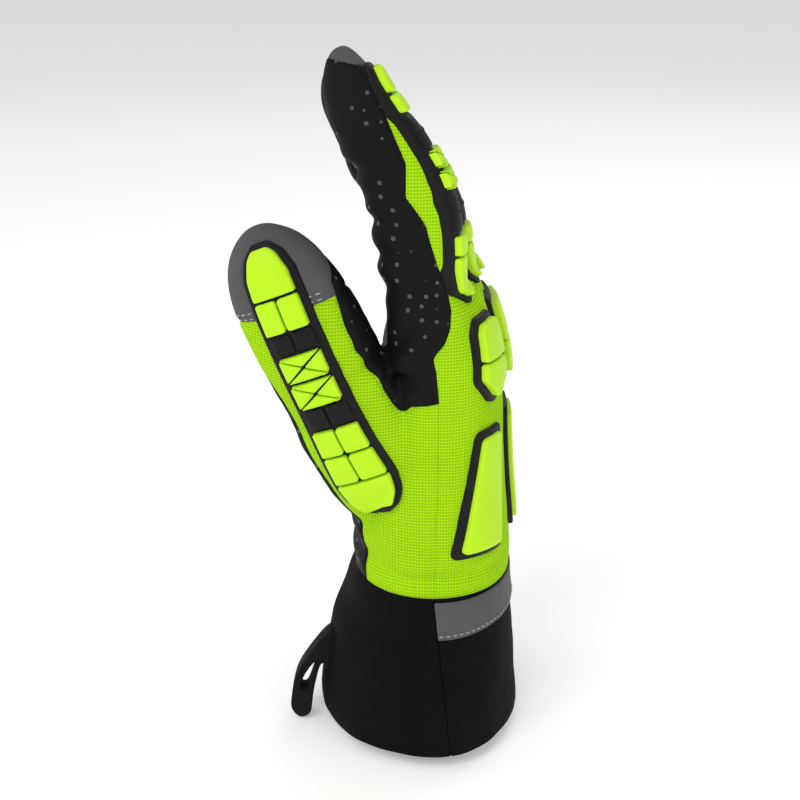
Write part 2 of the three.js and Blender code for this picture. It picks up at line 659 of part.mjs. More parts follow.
function fingerGuard(digit) {
  const { finger } = digit;
  const up = new THREE.Vector3(0, finger.splay, finger.length).normalize();
  const origin = new THREE.Vector3(finger.x - finger.lean, finger.y, CUFF_HEIGHT + finger.base);
  const half = (FINGER_GUARD_WIDE / 2) * finger.size;
  const rows = FINGER_GUARD_ROWS.map(([share, wide]) => [share * finger.length, wide * half]);
  const grooves = FINGER_GROOVES.map((share) => crossGroove(share * finger.length));
  return guard({
    form: (grow) => formOf(digit, grow).add(handForm(grow)),
    place: { origin, across: up.clone().cross(AXIS_X), up },
    outline: strip(rows, 0),
    padOutline: strip(rows, BORDER_WIDE),
    grooves,
    rise: PAD_RISE,
  });
}

function thumbGuard() {
  const out = thumb.path.back;
  const run = new THREE.Vector3(-THUMB.lean * THUMB_GUARD_RUN.lean, 0, THUMB.length * THUMB_GUARD_RUN.rise);
  const up = run.addScaledVector(out, -run.dot(out)).normalize();
  const origin = new THREE.Vector3(THUMB_GUARD_FOOT.x, THUMB.y, CUFF_HEIGHT + THUMB_GUARD_FOOT.up);
  const half = THUMB_GUARD_WIDE / 2;
  const rows = THUMB_GUARD_ROWS.map(([share, wide]) => [share * THUMB_GUARD_LENGTH, wide * half]);
  const grooves = THUMB_GROOVES.map((share) => crossGroove(share * THUMB_GUARD_LENGTH));
  return guard({
    form: (grow) => formOf(thumb, grow).add(handForm(grow)),
    place: { origin, across: up.clone().cross(out), up },
    outline: strip(rows, 0),
    padOutline: strip(rows, BORDER_WIDE),
    grooves,
    rise: PAD_RISE,
  });
}

function handGuard({ y, z, azimuth, ...rest }) {
  const turn = THREE.MathUtils.degToRad(azimuth);
  const out = new THREE.Vector3(Math.cos(turn), Math.sin(turn), 0);
  const origin = new THREE.Vector3(HAND_CENTRE_X, y, z);
  const place = { origin, across: AXIS_Z.clone().cross(out), up: AXIS_Z };
  return guard({ form: (grow) => handForm(grow), place, ...rest });
}

// The offset of a convex outline towards its middle.
function inset(points, distance) {
  const corners = points.map((p) => new THREE.Vector2(...p));
  const count = corners.length;
  return corners.map((corner, i) => {
    const before = corner.clone().sub(corners[(i + count - 1) % count]).normalize();
    const after = corners[(i + 1) % count].clone().sub(corner).normalize();
    const normal = new THREE.Vector2(-before.y - after.y, before.x + after.x).normalize();
    const reach = distance / Math.max(normal.dot(new THREE.Vector2(-before.y, before.x)), 0.3);
    return [corner.x + normal.x * reach, corner.y + normal.y * reach];
  });
}

function plateOutlines(points, radius) {
  return {
    outline: rounded(points, radius),
    padOutline: rounded(inset(points, BORDER_WIDE), Math.max(radius - BORDER_WIDE / 2, 1)),
  };
}

const handOuter = handForm(0);
const thumbOuter = formOf(thumb, 0);
const inners = [handForm(-FABRIC_WALL, true), formOf(thumb, -FABRIC_WALL, true)];
digits.forEach((digit) => inners.push(formOf(digit, -FABRIC_WALL, true)));
const hollow = inners.reduce((sum, inner) => sum.add(inner));
const bodyShell = handOuter.add(thumbOuter).subtract(hollow);

const glove = new THREE.Group();
glove.name = "impact_glove";
const half = SEAM_GAP / 2;

// The hand: the knit back, the knit thumb panel, the leather palm and the patch in the crotch
glove.add(mesh("hand_back", largest(bodyShell.intersect(backHalf(half))), KNIT));
const front = bodyShell.subtract(backHalf(-half));
const thumbAxis = new THREE.Vector3(-THUMB.lean, 0, THUMB.length).normalize();
const thumbRoot = thumb.path.centre(THUMB_PALM_FROM);
const palmSide = (shift) => handPalmHalf(-shift).add(thumbPalmHalf(shift));
const crotch = crotchPrism(0);
const crotchClear = crotchPrism(SEAM_GAP);
const leather = front.intersect(palmSide(-half)).subtract(crotchClear);
const knit = front.subtract(palmSide(half)).subtract(crotchClear);
const beyondRoot = beyond(thumbRoot, thumbAxis);
const shortOfRoot = beyond(thumbRoot.clone().addScaledVector(thumbAxis, -SEAM_GAP), thumbAxis);
glove.add(mesh("hand_palm", largest(leather.subtract(shortOfRoot)), LEATHER));
glove.add(mesh("thumb_palm", largest(leather.intersect(beyondRoot)), LEATHER));
glove.add(mesh("crotch_patch", largest(front.intersect(crotch)), LEATHER));

const capRoot = thumb.path.centre(THUMB_CAP_FROM);
const capAxis = new THREE.Vector3(THUMB_CAP_LEAN.x, 0, THUMB_CAP_LEAN.z);
const beyondCap = beyond(capRoot, capAxis);
const shortOfCap = beyond(capRoot.clone().addScaledVector(capAxis, -SEAM_GAP), capAxis);
glove.add(mesh("thumb_panel", largest(knit.subtract(shortOfCap)), KNIT));
glove.add(mesh("thumb_cap", largest(knit.intersect(beyondCap)), GREY));

// The fingers: each a knit back, a leather front and a cap over the back of the tip
const bodyClear = handForm(SEAM_GAP).add(formOf(thumb, SEAM_GAP));
digits.forEach((digit) => {
  const { name } = digit.finger;
  const shell = formOf(digit, 0).subtract(bodyClear).subtract(hollow);
  const back = shell.subtract(fingerPalmHalf(digit, half));
  const tipAxis = axesAt(digit.path, FINGER_CAP_FROM).along;
  const tip = digit.path.centre(FINGER_CAP_FROM);
  const beyondTip = beyond(tip, tipAxis);
  const shortOfTip = beyond(tip.clone().addScaledVector(tipAxis, -SEAM_GAP), tipAxis);
  glove.add(mesh(name + "_back", largest(back.subtract(shortOfTip)), KNIT));
  glove.add(mesh(name + "_cap", largest(back.intersect(beyondTip)), GREY));
  glove.add(mesh(name + "_palm", largest(shell.intersect(fingerPalmHalf(digit, -half))), LEATHER));
  glove.add(mesh(name + "_guard", fingerGuard(digit), RUBBER));
});
glove.add(mesh("thumb_guard", thumbGuard(), RUBBER));

// The guards on the knuckles and on the back of the hand
KNUCKLE_GUARDS.forEach(({ y, azimuth }, i) => {
  const finger = FINGERS[i];
  const h = KNUCKLE_GUARD_HEIGHT;
  const outline = KNUCKLE_OUTLINE.map(([u, v]) => [(u * KNUCKLE_GUARD_WIDE) / 2, v * h]);
  const grooves = [crossGroove(h * KNUCKLE_GROOVE)];
  const foot = finger.base + finger.length * FINGER_GUARD_ROWS[0][0];
  const z = CUFF_HEIGHT + foot - KNUCKLE_CLEARANCE - h;
  const made = handGuard({ y, z, azimuth, ...plateOutlines(outline, 2), grooves, rise: PAD_RISE });
  glove.add(mesh(finger.name + "_knuckle_guard", made, RUBBER));
});
METACARPAL_GUARDS.forEach(({ name, y, azimuth, lowLeft, lowRight, highLeft, highRight }) => {
  const w = METACARPAL_GUARD_WIDE;
  const h = METACARPAL_GUARD_HEIGHT;
  const outline = [
    [lowLeft * w, 0],
    [lowRight * w, 0],
    [highRight * w, h],
    [highLeft * w, h],
  ];
  const z = CUFF_HEIGHT + HAND_HEIGHT * METACARPAL_GUARD_FROM;
  const plates = plateOutlines(outline, 4);
  const made = handGuard({ y, z, azimuth, ...plates, grooves: [], rise: METACARPAL_PAD_RISE });
  glove.add(mesh(name + "_metacarpal_guard", made, RUBBER));
});

// The cuff: two neoprene halves, the reflective band on the back half and the pull loop
const cuffShell = cuffForm(0).subtract(cuffForm(-CUFF_WALL, true, HAND_INNER_POINTS));
glove.add(mesh("cuff_back", largest(cuffShell.intersect(backHalf(half))), NEOPRENE));
glove.add(mesh("cuff_palm", largest(cuffShell.subtract(backHalf(-half))), NEOPRENE));
const bandFoot = new THREE.Vector3(0, 0, CUFF_HEIGHT - BAND_HEIGHT);
const bandShell = cuffForm(SEAM_GAP + BAND_THICK).subtract(cuffForm(SEAM_GAP, true));
const band = bandShell.intersect(backHalf(half)).intersect(beyond(bandFoot, AXIS_Z));
glove.add(mesh("reflective_band", largest(band), GREY));

// The pull loop: a band of webbing folded into a drop, with a hole near the cuff
function pullLoop() {
  const place = ([out, down]) => [LOOP_TOP.x - out * LOOP_REACH, LOOP_TOP.z - down * LOOP_LENGTH];
  const middle = new THREE.Vector3(0, LOOP_TOP.y, 0);
  const cut = (outline, half) => prism(outline.map(place), middle, AXIS_X, AXIS_Z, -half, half);
  const body = cut(LOOP_OUTLINE, WEBBING_WIDE / 2);
  return body.subtract(cut(LOOP_HOLE, WEBBING_WIDE)).subtract(cuffForm(SEAM_GAP));
}
glove.add(mesh("pull_loop", largest(pullLoop()), NEOPRENE));

export default glove;
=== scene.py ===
import json
import math

import bmesh
import bpy
import numpy as np
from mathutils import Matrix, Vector, noise
from mathutils.bvhtree import BVHTree

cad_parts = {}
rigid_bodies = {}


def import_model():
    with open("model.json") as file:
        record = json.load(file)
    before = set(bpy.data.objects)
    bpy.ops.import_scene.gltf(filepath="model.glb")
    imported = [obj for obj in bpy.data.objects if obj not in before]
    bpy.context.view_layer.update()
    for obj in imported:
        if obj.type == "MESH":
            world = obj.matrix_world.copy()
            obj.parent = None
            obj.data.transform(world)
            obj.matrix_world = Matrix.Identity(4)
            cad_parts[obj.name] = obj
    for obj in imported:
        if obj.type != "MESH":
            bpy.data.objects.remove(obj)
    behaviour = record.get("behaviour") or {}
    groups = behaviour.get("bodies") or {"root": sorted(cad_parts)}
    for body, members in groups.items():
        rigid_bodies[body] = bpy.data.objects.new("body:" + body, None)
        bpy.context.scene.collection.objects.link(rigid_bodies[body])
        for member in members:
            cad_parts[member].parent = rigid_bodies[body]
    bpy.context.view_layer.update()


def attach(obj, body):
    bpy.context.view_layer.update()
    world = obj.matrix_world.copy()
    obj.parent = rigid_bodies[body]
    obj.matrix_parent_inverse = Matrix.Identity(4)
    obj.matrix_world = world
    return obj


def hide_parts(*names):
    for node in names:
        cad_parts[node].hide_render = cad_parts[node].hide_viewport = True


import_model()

bl_info = {
    "name": "Impact Glove",
    "version": (1, 0, 0),
    "blender": (4, 5, 0),
    "location": "View3D > Sidebar > Glove",
    "description": "Builds a worn impact glove around its packed frame",
    "category": "Object",
}

MM = 0.001

# Sizes in millimetres, the same as the frame's
CUFF_HEIGHT = 58.0
CUFF_WIDE = 103.0
CUFF_DEEP = 74.0
HAND_HEIGHT = 116.0
HAND_WIDE = 96.0
HAND_DEEP = 58.0
HAND_CENTRE_X = 5.0
FINGER_HALF_WIDE = 11.6
FINGER_HALF_DEEP = 13.0
DIGIT_SQUARE = 2.2
FINGER_NARROWED = 0.95  # leaves air between the fingers
FABRIC = 1.3
NEOPRENE = 3.0
X_AXIS = np.array([1.0, 0, 0])
Z_AXIS = np.array([0, 0, 1.0])


def table(columns, rows):
    """Columns by name, from rows of values."""
    return {name: np.array(values, float) for name, values in zip(columns.split(), zip(*rows))}


# Base, length, x, y, lean, splay, even, size and thinness of the back
FINGERS = {
    "index": (87, 108, 3.8, -36, 30.3, -2, 0, 1, 1),
    "middle": (90, 97, 12.5, -12, 42, 0, 0.2, 1, 0.82),
    "ring": (88, 92, 10.5, 12, 38, 1, 0.3, 0.98, 0.8),
    "little": (84, 80, 6, 35, 30, 4, 0.3, 0.93, 0.8),
}
FINGER_ROWS = table("up lean wide back palm seam", [
    (0, 0, 0.98, 0.98, 1.12, 0.2),
    (0.08, 0.035, 0.98, 0.95, 1.14, 0.45),
    (0.18, 0.08, 0.97, 0.9, 0.97, 0.75),
    (0.27, 0.115, 0.97, 0.88, 1, 0.63),
    (0.37, 0.155, 1, 0.98, 1.07, 0.44),
    (0.47, 0.205, 1.01, 1.02, 1.08, 0.3),
    (0.58, 0.31, 0.99, 0.97, 1.08, 0.02),
    (0.68, 0.45, 0.95, 0.8, 1.05, 0.33),
    (0.77, 0.61, 0.91, 0.63, 1.12, 0.46),
    (0.85, 0.76, 0.85, 0.52, 1, 0.45),
    (0.91, 0.87, 0.75, 0.48, 0.84, 0.36),
    (0.96, 0.95, 0.56, 0.34, 0.54, 0.24),
    (0.99, 0.99, 0.3, 0.2, 0.28, 0.12),
    (1, 1, 0.1, 0.07, 0.09, 0),
])
THUMB = {"base": 30, "length": 105.5, "x": -4, "y": -20, "lean": 52.5, "side": -18,
         "wide": 20, "deep": 16.5, "turn": 12}
THUMB_ROWS = table("up lean side wide deep seamWide seamDeep", [
    (0, 0, 0, 0.95, 0.72, -0.2, -0.4),
    (0.1, 0.12, 0.22, 1.02, 0.82, -0.2, -0.35),
    (0.19, 0.22, 0.4, 1.05, 0.9, -0.1, -0.2),
    (0.3, 0.335, 0.57, 1.04, 0.96, 0.4, 0.1),
    (0.42, 0.43, 0.71, 1.03, 0.98, 0.88, 0.5),
    (0.54, 0.553, 0.83, 1.0, 0.95, 0.86, 0.56),
    (0.66, 0.672, 0.9, 1.01, 0.92, 0.8, 0.64),
    (0.77, 0.785, 0.94, 0.97, 0.86, 0.86, 0.5),
    (0.87, 0.882, 0.97, 0.83, 0.74, 0.97, 0.2),
    (0.94, 0.945, 0.99, 0.61, 0.55, 1, -0.1),
    (0.985, 0.985, 1, 0.32, 0.3, 1, -0.3),
    (1, 1, 1, 0.1, 0.1, 1, -0.3),
])
# The thumb's outer seam: share of its length, and how far round to the front it sits
THUMB_OUTER_SEAM = ((0, 0.5), (0.3, 0.55), (0.42, 0.5), (0.5, 0.3), (0.56, -0.02), (0.62, -0.1), (1, -0.1))
HAND_ROWS = table("up back palm near far square", [
    (0, 0.5, 0.5, 0.427, 0.427, 2.1),
    (0.07, 0.507, 0.5, 0.437, 0.44, 2.15),
    (0.19, 0.49, 0.515, 0.453, 0.469, 2.2),
    (0.32, 0.466, 0.51, 0.46, 0.5, 2.25),
    (0.474, 0.448, 0.46, 0.47, 0.52, 2.3),
    (0.62, 0.437, 0.37, 0.48, 0.522, 2.35),
    (0.75, 0.408, 0.295, 0.492, 0.512, 2.4),
    (0.862, 0.345, 0.262, 0.495, 0.495, 2.4),
    (0.93, 0.28, 0.22, 0.482, 0.475, 2.4),
    (0.975, 0.21, 0.15, 0.45, 0.44, 2.4),
    (1, 0.12, 0.05, 0.38, 0.37, 2.4),
])
CUFF_ROWS = table("up back palm near far square centre", [
    (0, 0.424, 0.578, 0.5, 0.5, 1.98, 6),
    (0.1, 0.424, 0.588, 0.502, 0.502, 1.98, 6),
    (0.22, 0.42, 0.58, 0.5, 0.5, 2, 6),
    (0.43, 0.415, 0.552, 0.487, 0.487, 2, 5.8),
    (0.66, 0.4, 0.5, 0.46, 0.46, 2, 5.5),
    (0.8, 0.393, 0.46, 0.44, 0.44, 2.05, 5.2),
    (0.93, 0.39, 0.42, 0.42, 0.42, 2.1, 5),
    (1, 0.389, 0.395, 0.408, 0.408, 2.1, 5),
])
# Seams and edges as points of height and place
SIDE_SEAM = ((-5, 12), (34.8, 7.5), (59.2, 5), (98.6, 6), (134.6, 6), (149.6, 4.5), (160, 10), (180, 10))
INDEX_SEAM = ((150, 4.2), (155, 8.1), (160, 9.9), (166, 10.2), (174, 8.7), (181, 5.7), (190, 2.9), (196, 1.3),
              (205, -5.1), (216, -5.1), (231, -11.5), (240, -15), (260, -22))
PALM_EDGE = ((46, -21.1), (92.8, -23), (127.6, -25.9), (185.6, -25.9))
# Outlines seen from the thumb's side, in x and z
CROTCH_PATCH = ((-7.1, 130.9), (6.35, 133.3), (5.3, 144.8), (3.6, 151.5), (-11, 151.5), (-12.5, 139))
THUMB_CAP = ((-59.8, 161.5), (-33.6, 170.2))
FINGER_CAP_FROM = 0.9
# The leather's line on the hand passes into the fingers' own lines from this height on
FINGERS_FROM = 146.0
FINGERS_BLEND = 8.0
FINGERS_ALL = 152.0
FINGER_TIPS_FROM = 190.0
THUMB_FROM = 150.0
# How far out from the thumb's middle its leather, its pieces and its cap reach, in its own radii
THUMB_LEATHER_REACH = 1.25
THUMB_PIECES_REACH = 1.35
THUMB_CAP_REACH = 1.4
THUMB_LEAST_RADII = (12, 10)
THUMB_CAP_STARTS = 0.84
CROTCH_SIDE = -18.0
CROTCH_HEIGHTS = (124, 156)
# Values of a field where its seam doesn't run
NOT_HERE = -20.0
BEYOND = 99.0
NO_SEAM = 9.0
# The seams' and the cloth's relief: depth, size and seed of the waves
SEAM_HALF_WIDE = 1.1
CLOTH_WAVES = (0.45, 16, 0)
LEATHER_WAVES = (0.18, 5, 7)
LEATHER_LIFT = 0.25
CUFF_WAVES = ((0.9, 26, 2), (0.3, 9, 5))
# The cuff's crease on the palm side: its height, half width and depth
CUFF_CREASE = (46, 5, 0.9)

# Guards: shares of the length and of the half width, and pads with their colour and pattern
FINGER_GUARD_WIDE = 18.0
FINGER_GUARD_ROWS = ((0.2, 0.06), (0.245, 0.8), (0.32, 1), (0.6, 1), (0.8, 0.9), (0.9, 0.76), (0.945, 0.5))
FINGER_PADS = (
    (0.215, 0.361, "green", ""),
    (0.361, 0.43, "green", ""),
    (0.43, 0.565, "black", "slot"),
    (0.565, 0.63, "green", "cross"),
    (0.63, 0.69, "green", "cross"),
    (0.69, 0.796, "black", "slot"),
    (0.796, 0.856, "green", ""),
    (0.856, 0.94, "green", ""),
)
THUMB_GUARD_WIDE = 21.0
THUMB_GUARD_LENGTH = 106.0
THUMB_GUARD_FOOT = (-9.5, 32.5)
THUMB_GUARD_ROWS = ((0, 0.35), (0.025, 0.8), (0.07, 1.08), (0.14, 1.16), (0.26, 1.08), (0.42, 1), (0.8, 0.95),
                    (0.9, 0.9), (0.96, 0.68), (1, 0.28))
THUMB_PADS = (
    (0.02, 0.152, "green", ""),
    (0.152, 0.263, "green", "split"),
    (0.263, 0.364, "green", "split"),
    (0.364, 0.447, "black", "split"),
    (0.447, 0.543, "green", "cross"),
    (0.543, 0.639, "green", "cross"),
    (0.639, 0.712, "black", "split"),
    (0.712, 0.827, "green", "split"),
    (0.827, 0.985, "green", ""),
)
KNUCKLE_OUTLINE = ((-0.2, 0), (0.2, 0), (1, 0.28), (1, 0.86), (0.7, 1), (-0.7, 1), (-1, 0.86), (-1, 0.28))
KNUCKLE_GUARD_WIDE = 21.5
KNUCKLE_GUARD_HEIGHT = 31.0
KNUCKLE_GUARDS = (("index", -26.5, -20), ("middle", -5, -6), ("ring", 16, 8), ("little", 35.5, 24))
METACARPAL_GUARDS = (
    ("index", -20, -42, -0.52, 0.42, -0.22, 0.42),
    ("middle", 0, 0, -0.38, 0.38, -0.44, 0.44),
    ("little", 22, 38, -0.42, 0.52, -0.42, 0.22),
)
METACARPAL_GUARD_WIDE = 26.0
METACARPAL_GUARD_HEIGHT = 47.0
METACARPAL_GUARD_Z = 74.0
BORDER = 2.4
BORDER_PROFILE = ((0, -0.8), (0, 1.1), (0.25, 1.55), (0.8, 1.75))
PLATE_PROFILE = ((0, -0.8), (0, 1.1), (0.25, 1.5), (0.7, 1.65))
PAD_FOOT = 1.2
PAD_GAP = 0.5
PLATE_GAP = 0.45
GROOVE = 0.35
SPACER_DROP = 1.3
SLOT = (2.6, 0.6)
KNUCKLE_RISE = 4.1
METACARPAL_RISE = 3.2
KNUCKLE_CLEARANCE = 5.0
THUMB_GUARD_RUN = (0.72, 0.92)
LOOP_TOP = (-34.4, -9, 30.5)
LOOP_SIZE = (14.0, 34.0, 9.0)
LOOP_OUTLINE = ((0.02, 0), (0.45, 0.22), (0.77, 0.43), (0.91, 0.6), (1, 0.82), (0.96, 0.93), (0.77, 1),
                (0.54, 0.95), (0.47, 0.76), (0.38, 0.56), (0.2, 0.34), (-0.2, 0.34), (-0.2, 0))
LOOP_HOLE = ((0.3, 0.33), (0.42, 0.33), (0.7, 0.5), (0.8, 0.66), (0.56, 0.66))
LOOP_ROUNDING = 0.5
BAND = (CUFF_HEIGHT - 13.3, CUFF_HEIGHT - 0.4)
BAND_GROW = 0.9
BAND_THICK = 1.1
FLOOR_Z = -5.0
VIEW_TARGET = (-7.06, 0, 120)
VIEW_DISTANCE = 620.0
VIEW_RISE = 18.0
VIEW_LENS = 75.4
SENSOR_WIDE = 36.0
WORLD_STRENGTH = 0.42


def smooth_at(rows, column, up):
    """A table's column at shares along it, on a smooth curve through its rows."""
    ups = rows["up"]
    values = rows[column]
    up = np.clip(np.asarray(up, float), ups[0], ups[-1])
    i = np.clip(np.searchsorted(ups, up, side="left") - 1, 0, len(ups) - 2)
    before = np.maximum(i - 1, 0)
    after = np.minimum(i + 2, len(ups) - 1)
    span = ups[i + 1] - ups[i]
    t = (up - ups[i]) / span
    slope_a = (values[i + 1] - values[before]) / (ups[i + 1] - ups[before])
    slope_b = (values[after] - values[i]) / (ups[after] - ups[i])
    t2, t3 = t * t, t * t * t
    return ((2 * t3 - 3 * t2 + 1) * values[i] + (t3 - 2 * t2 + t) * span * slope_a
            + (3 * t2 - 2 * t3) * values[i + 1] + (t3 - t2) * span * slope_b)


def along(line, z):
    """A value on a broken line of (z, value) pairs."""
    z_values, values = zip(*line)
    return np.interp(z, z_values, values)


def bend(value, square):
    """A cosine or sine bent towards a squarer ring."""
    return np.sign(value) * np.abs(value) ** (2 / square)


def unit(v):
    """Vectors made one long."""
    v = np.asarray(v, float)
    return v / np.maximum(np.linalg.norm(v, axis=-1, keepdims=True), 1e-9)


def level_ring(rows, up, deep, wide, centre, z, angles, grow=0.0):
    """A level ring of the hand or the cuff at a height."""
    back, palm = smooth_at(rows, "back", up) * deep, smooth_at(rows, "palm", up) * deep
    near, far = smooth_at(rows, "near", up) * wide, smooth_at(rows, "far", up) * wide
    square = smooth_at(rows, "square", up)
    c, s = bend(np.cos(angles), square), bend(np.sin(angles), square)
    x = centre + c * (np.where(c > 0, back, palm) + grow)
    y = s * (np.where(s > 0, far, near) + grow)
    return np.stack([x, y, np.full_like(x, z)], 1)


def finger_centre(name, up):
    """The middle of a finger at shares of its length."""
    base, length, x, y, lean, splay, even, _, _ = FINGERS[name]
    up = np.asarray(up, float)
    curl = even * up + (1 - even) * smooth_at(FINGER_ROWS, "lean", up)
    return np.stack([x - lean * curl, y + splay * up, CUFF_HEIGHT + base + length * up], -1)


def thumb_centre(up):
    """The middle of the thumb at shares of its length."""
    up = np.asarray(up, float)
    x = THUMB["x"] - THUMB["lean"] * smooth_at(THUMB_ROWS, "lean", up)
    y = THUMB["y"] + THUMB["side"] * smooth_at(THUMB_ROWS, "side", up)
    return np.stack([x, y, CUFF_HEIGHT + THUMB["base"] + THUMB["length"] * up], -1)


TURN = math.radians(THUMB["turn"])
THUMB_BACK = np.array([-math.sin(TURN), -math.cos(TURN), 0])


def axes_at(centre, facing, up):
    """The axes across a digit and out of its back, at shares of its length."""
    up = np.asarray(up, float)
    run = unit(centre(np.minimum(up + 0.02, 1)) - centre(np.maximum(up - 0.02, 0)))
    across = unit(-np.cross(np.broadcast_to(facing, run.shape), run))
    return across, unit(np.cross(across, run))


def finger_size(name, up):
    """A finger's half width, and its depth to the back and to the palm."""
    size, thin = FINGERS[name][7], FINGERS[name][8]
    return (FINGER_HALF_WIDE * size * smooth_at(FINGER_ROWS, "wide", up),
            FINGER_HALF_DEEP * size * thin * smooth_at(FINGER_ROWS, "back", up),
            FINGER_HALF_DEEP * size * smooth_at(FINGER_ROWS, "palm", up))


def thumb_size(up):
    """The thumb's half width and its depth to either side."""
    deep = THUMB["deep"] * smooth_at(THUMB_ROWS, "deep", up)
    return THUMB["wide"] * smooth_at(THUMB_ROWS, "wide", up), deep, deep


def digit_rings(centre, facing, size_at, narrow=1.0):
    """Rings along a finger or the thumb."""
    rings = []
    angles = np.linspace(0, 2 * math.pi, 48, endpoint=False)
    for up in np.concatenate([np.linspace(0, 0.9, 40), np.linspace(0.915, 0.998, 10)]):
        across, back = axes_at(centre, facing, up)
        wide, deep_back, deep_palm = size_at(up)
        u = bend(np.cos(angles), DIGIT_SQUARE) * wide * narrow
        v = bend(np.sin(angles), DIGIT_SQUARE)
        v = v * np.where(v > 0, deep_back, deep_palm)
        rings.append(centre(up) - u[:, None] * across + v[:, None] * back)
    return rings


def lofted(bm, rings):
    """A closed loft through rings of points."""
    levels = [[bm.verts.new(p * MM) for p in ring] for ring in rings]
    count = len(levels[0])
    for a, b in zip(levels, levels[1:]):
        for i in range(count):
            j = (i + 1) % count
            bm.faces.new((a[i], a[j], b[j], b[i]))
    for level, flip in ((levels[0], True), (levels[-1], False)):
        middle = bm.verts.new(sum((v.co for v in level), Vector()) / count)
        for i in range(count):
            j = (i + 1) % count
            bm.faces.new((middle, level[j], level[i]) if flip else (middle, level[i], level[j]))


def linked(name, mesh):
    """An object in the scene that shows a mesh, with smooth shading."""
    mesh.shade_smooth()
    made = bpy.data.objects.new(name, mesh)
    bpy.context.scene.collection.objects.link(made)
    return made


def make_object(name, bm):
    """An object made of a finished bmesh."""
    mesh = bpy.data.meshes.new(name)
    bm.to_mesh(mesh)
    bm.free()
    return linked(name, mesh)


def baked(made):
    """The object's mesh with its modifiers applied."""
    graph = bpy.context.evaluated_depsgraph_get()
    mesh = bpy.data.meshes.new_from_object(made.evaluated_get(graph))
    old = made.data
    made.modifiers.clear()
    made.data = mesh
    bpy.data.meshes.remove(old)
    return made


def coords(mesh):
    """A mesh's points in millimetres."""
    co = np.empty(len(mesh.vertices) * 3)
    mesh.vertices.foreach_get("co", co)
    return co.reshape(-1, 3) / MM


def set_coords(mesh, points):
    """Moves a mesh's points to places in millimetres."""
    mesh.vertices.foreach_set("co", (points * MM).ravel())
    mesh.update()


def normals(mesh):
    """A mesh's point normals."""
    out = np.empty(len(mesh.vertices) * 3)
    mesh.vertex_normals.foreach_get("vector", out)
    return out.reshape(-1, 3)


# Where the seams run, as signed distances in millimetres

def digit_frame(p, centre, facing, base, length):
    """Points as shares along a digit and distances across it and out of its back."""
    up = np.clip((p[:, 2] - CUFF_HEIGHT - base) / length, 0, 1)
    across, back = axes_at(centre, facing, up)
    off = p - centre(up)
    return up, np.sum(off * across, 1), np.sum(off * back, 1)


def finger_frame(p, name):
    """Points in a finger's own frame."""
    base, length = FINGERS[name][:2]
    return digit_frame(p, lambda up: finger_centre(name, up), X_AXIS, base, length)


def thumb_frame(p):
    """Points in the thumb's own frame."""
    return digit_frame(p, thumb_centre, THUMB_BACK, THUMB["base"], THUMB["length"])


def thumb_share(p):
    """How near the thumb's middle a point is: 1 is its surface."""
    up, u, v = thumb_frame(p)
    wide, deep, _ = thumb_size(up)
    least_wide, least_deep = THUMB_LEAST_RADII
    return np.hypot(u / np.maximum(wide, least_wide), v / np.maximum(deep, least_deep))


def of_thumb(p, share):
    """Whether points belong to the thumb."""
    x, y, z = p.T
    round_tip = (z > THUMB_FROM) & (z < 202) & (x < -22) & (y < -15)
    return (thumb_share(p) < share) | round_tip


def thumb_leather(p):
    """Above zero on the thumb's leather: under the chord between its two seams, and not on its tip."""
    up, u, v = thumb_frame(p)
    wide, deep, _ = thumb_size(up)
    share = along(THUMB_OUTER_SEAM, up)
    outer = np.stack([-wide * np.sqrt(1 - share ** 2), share * deep], 1)
    inner_share = [smooth_at(THUMB_ROWS, name, up) for name in ("seamWide", "seamDeep")]
    inner = np.stack([inner_share[0] * wide, inner_share[1] * deep], 1)
    chord = unit(inner - outer)
    below = (u - outer[:, 0]) * chord[:, 1] - (v - outer[:, 1]) * chord[:, 0]
    beside = inner[:, 0] + 3 - u
    below = below - np.clip((up - THUMB_CAP_STARTS) / 0.08, 0, 1) * 9
    return np.minimum(below, np.where(up < 0.36, beside, BEYOND))


def nearest_finger(p):
    """The number of the finger that each point is on or nearest to."""
    shares = []
    for name in FINGERS:
        up, u, v = finger_frame(p, name)
        wide, back, palm = finger_size(name, up)
        shares.append(np.hypot(u / wide, v / np.where(v > 0, back, palm)))
    return np.argmin(shares, 0)


def finger_leather(p):
    """Above zero on the fingers' leather, which ends below their tips."""
    out = np.zeros(len(p))
    owner = nearest_finger(p)
    for i, name in enumerate(FINGERS):
        mine = owner == i
        x, y, z = p[mine].T
        base, length, _, middle_y, *_, size, _ = FINGERS[name]
        up, _, v = finger_frame(p[mine], name)
        depth = smooth_at(FINGER_ROWS, "seam", up) * FINGER_HALF_DEEP * size - v
        if name == "index":
            near = np.clip((middle_y - y) / 6 + 0.5, 0, 1)
            depth = depth * (1 - near) + (along(INDEX_SEAM, z) - x) * near
        end = CUFF_HEIGHT + base + length
        out[mine] = depth - np.clip((z - end + 6) / 3, 0, 1) * 16
    return out


def side_seam(p):
    """Above zero behind the seam at the hand's side."""
    return p[:, 0] - along(SIDE_SEAM, p[:, 2])


def leather(p):
    """Above zero on the leather, below on the knit."""
    x, y, z = p.T
    on_thumb = of_thumb(p, THUMB_LEATHER_REACH)
    thumb = thumb_leather(p)
    edge = y - along(PALM_EDGE, z)
    hand = np.minimum(-side_seam(p), np.where(on_thumb & (z > 122), thumb, np.maximum(edge, thumb)))
    t = np.clip((z - FINGERS_FROM) / FINGERS_BLEND, 0, 1)
    t = t * t * (3 - 2 * t)
    mixed = hand * (1 - t) + finger_leather(p) * t
    return np.where(on_thumb & (z > 120) & (x < -9), np.minimum(-side_seam(p), thumb), mixed)


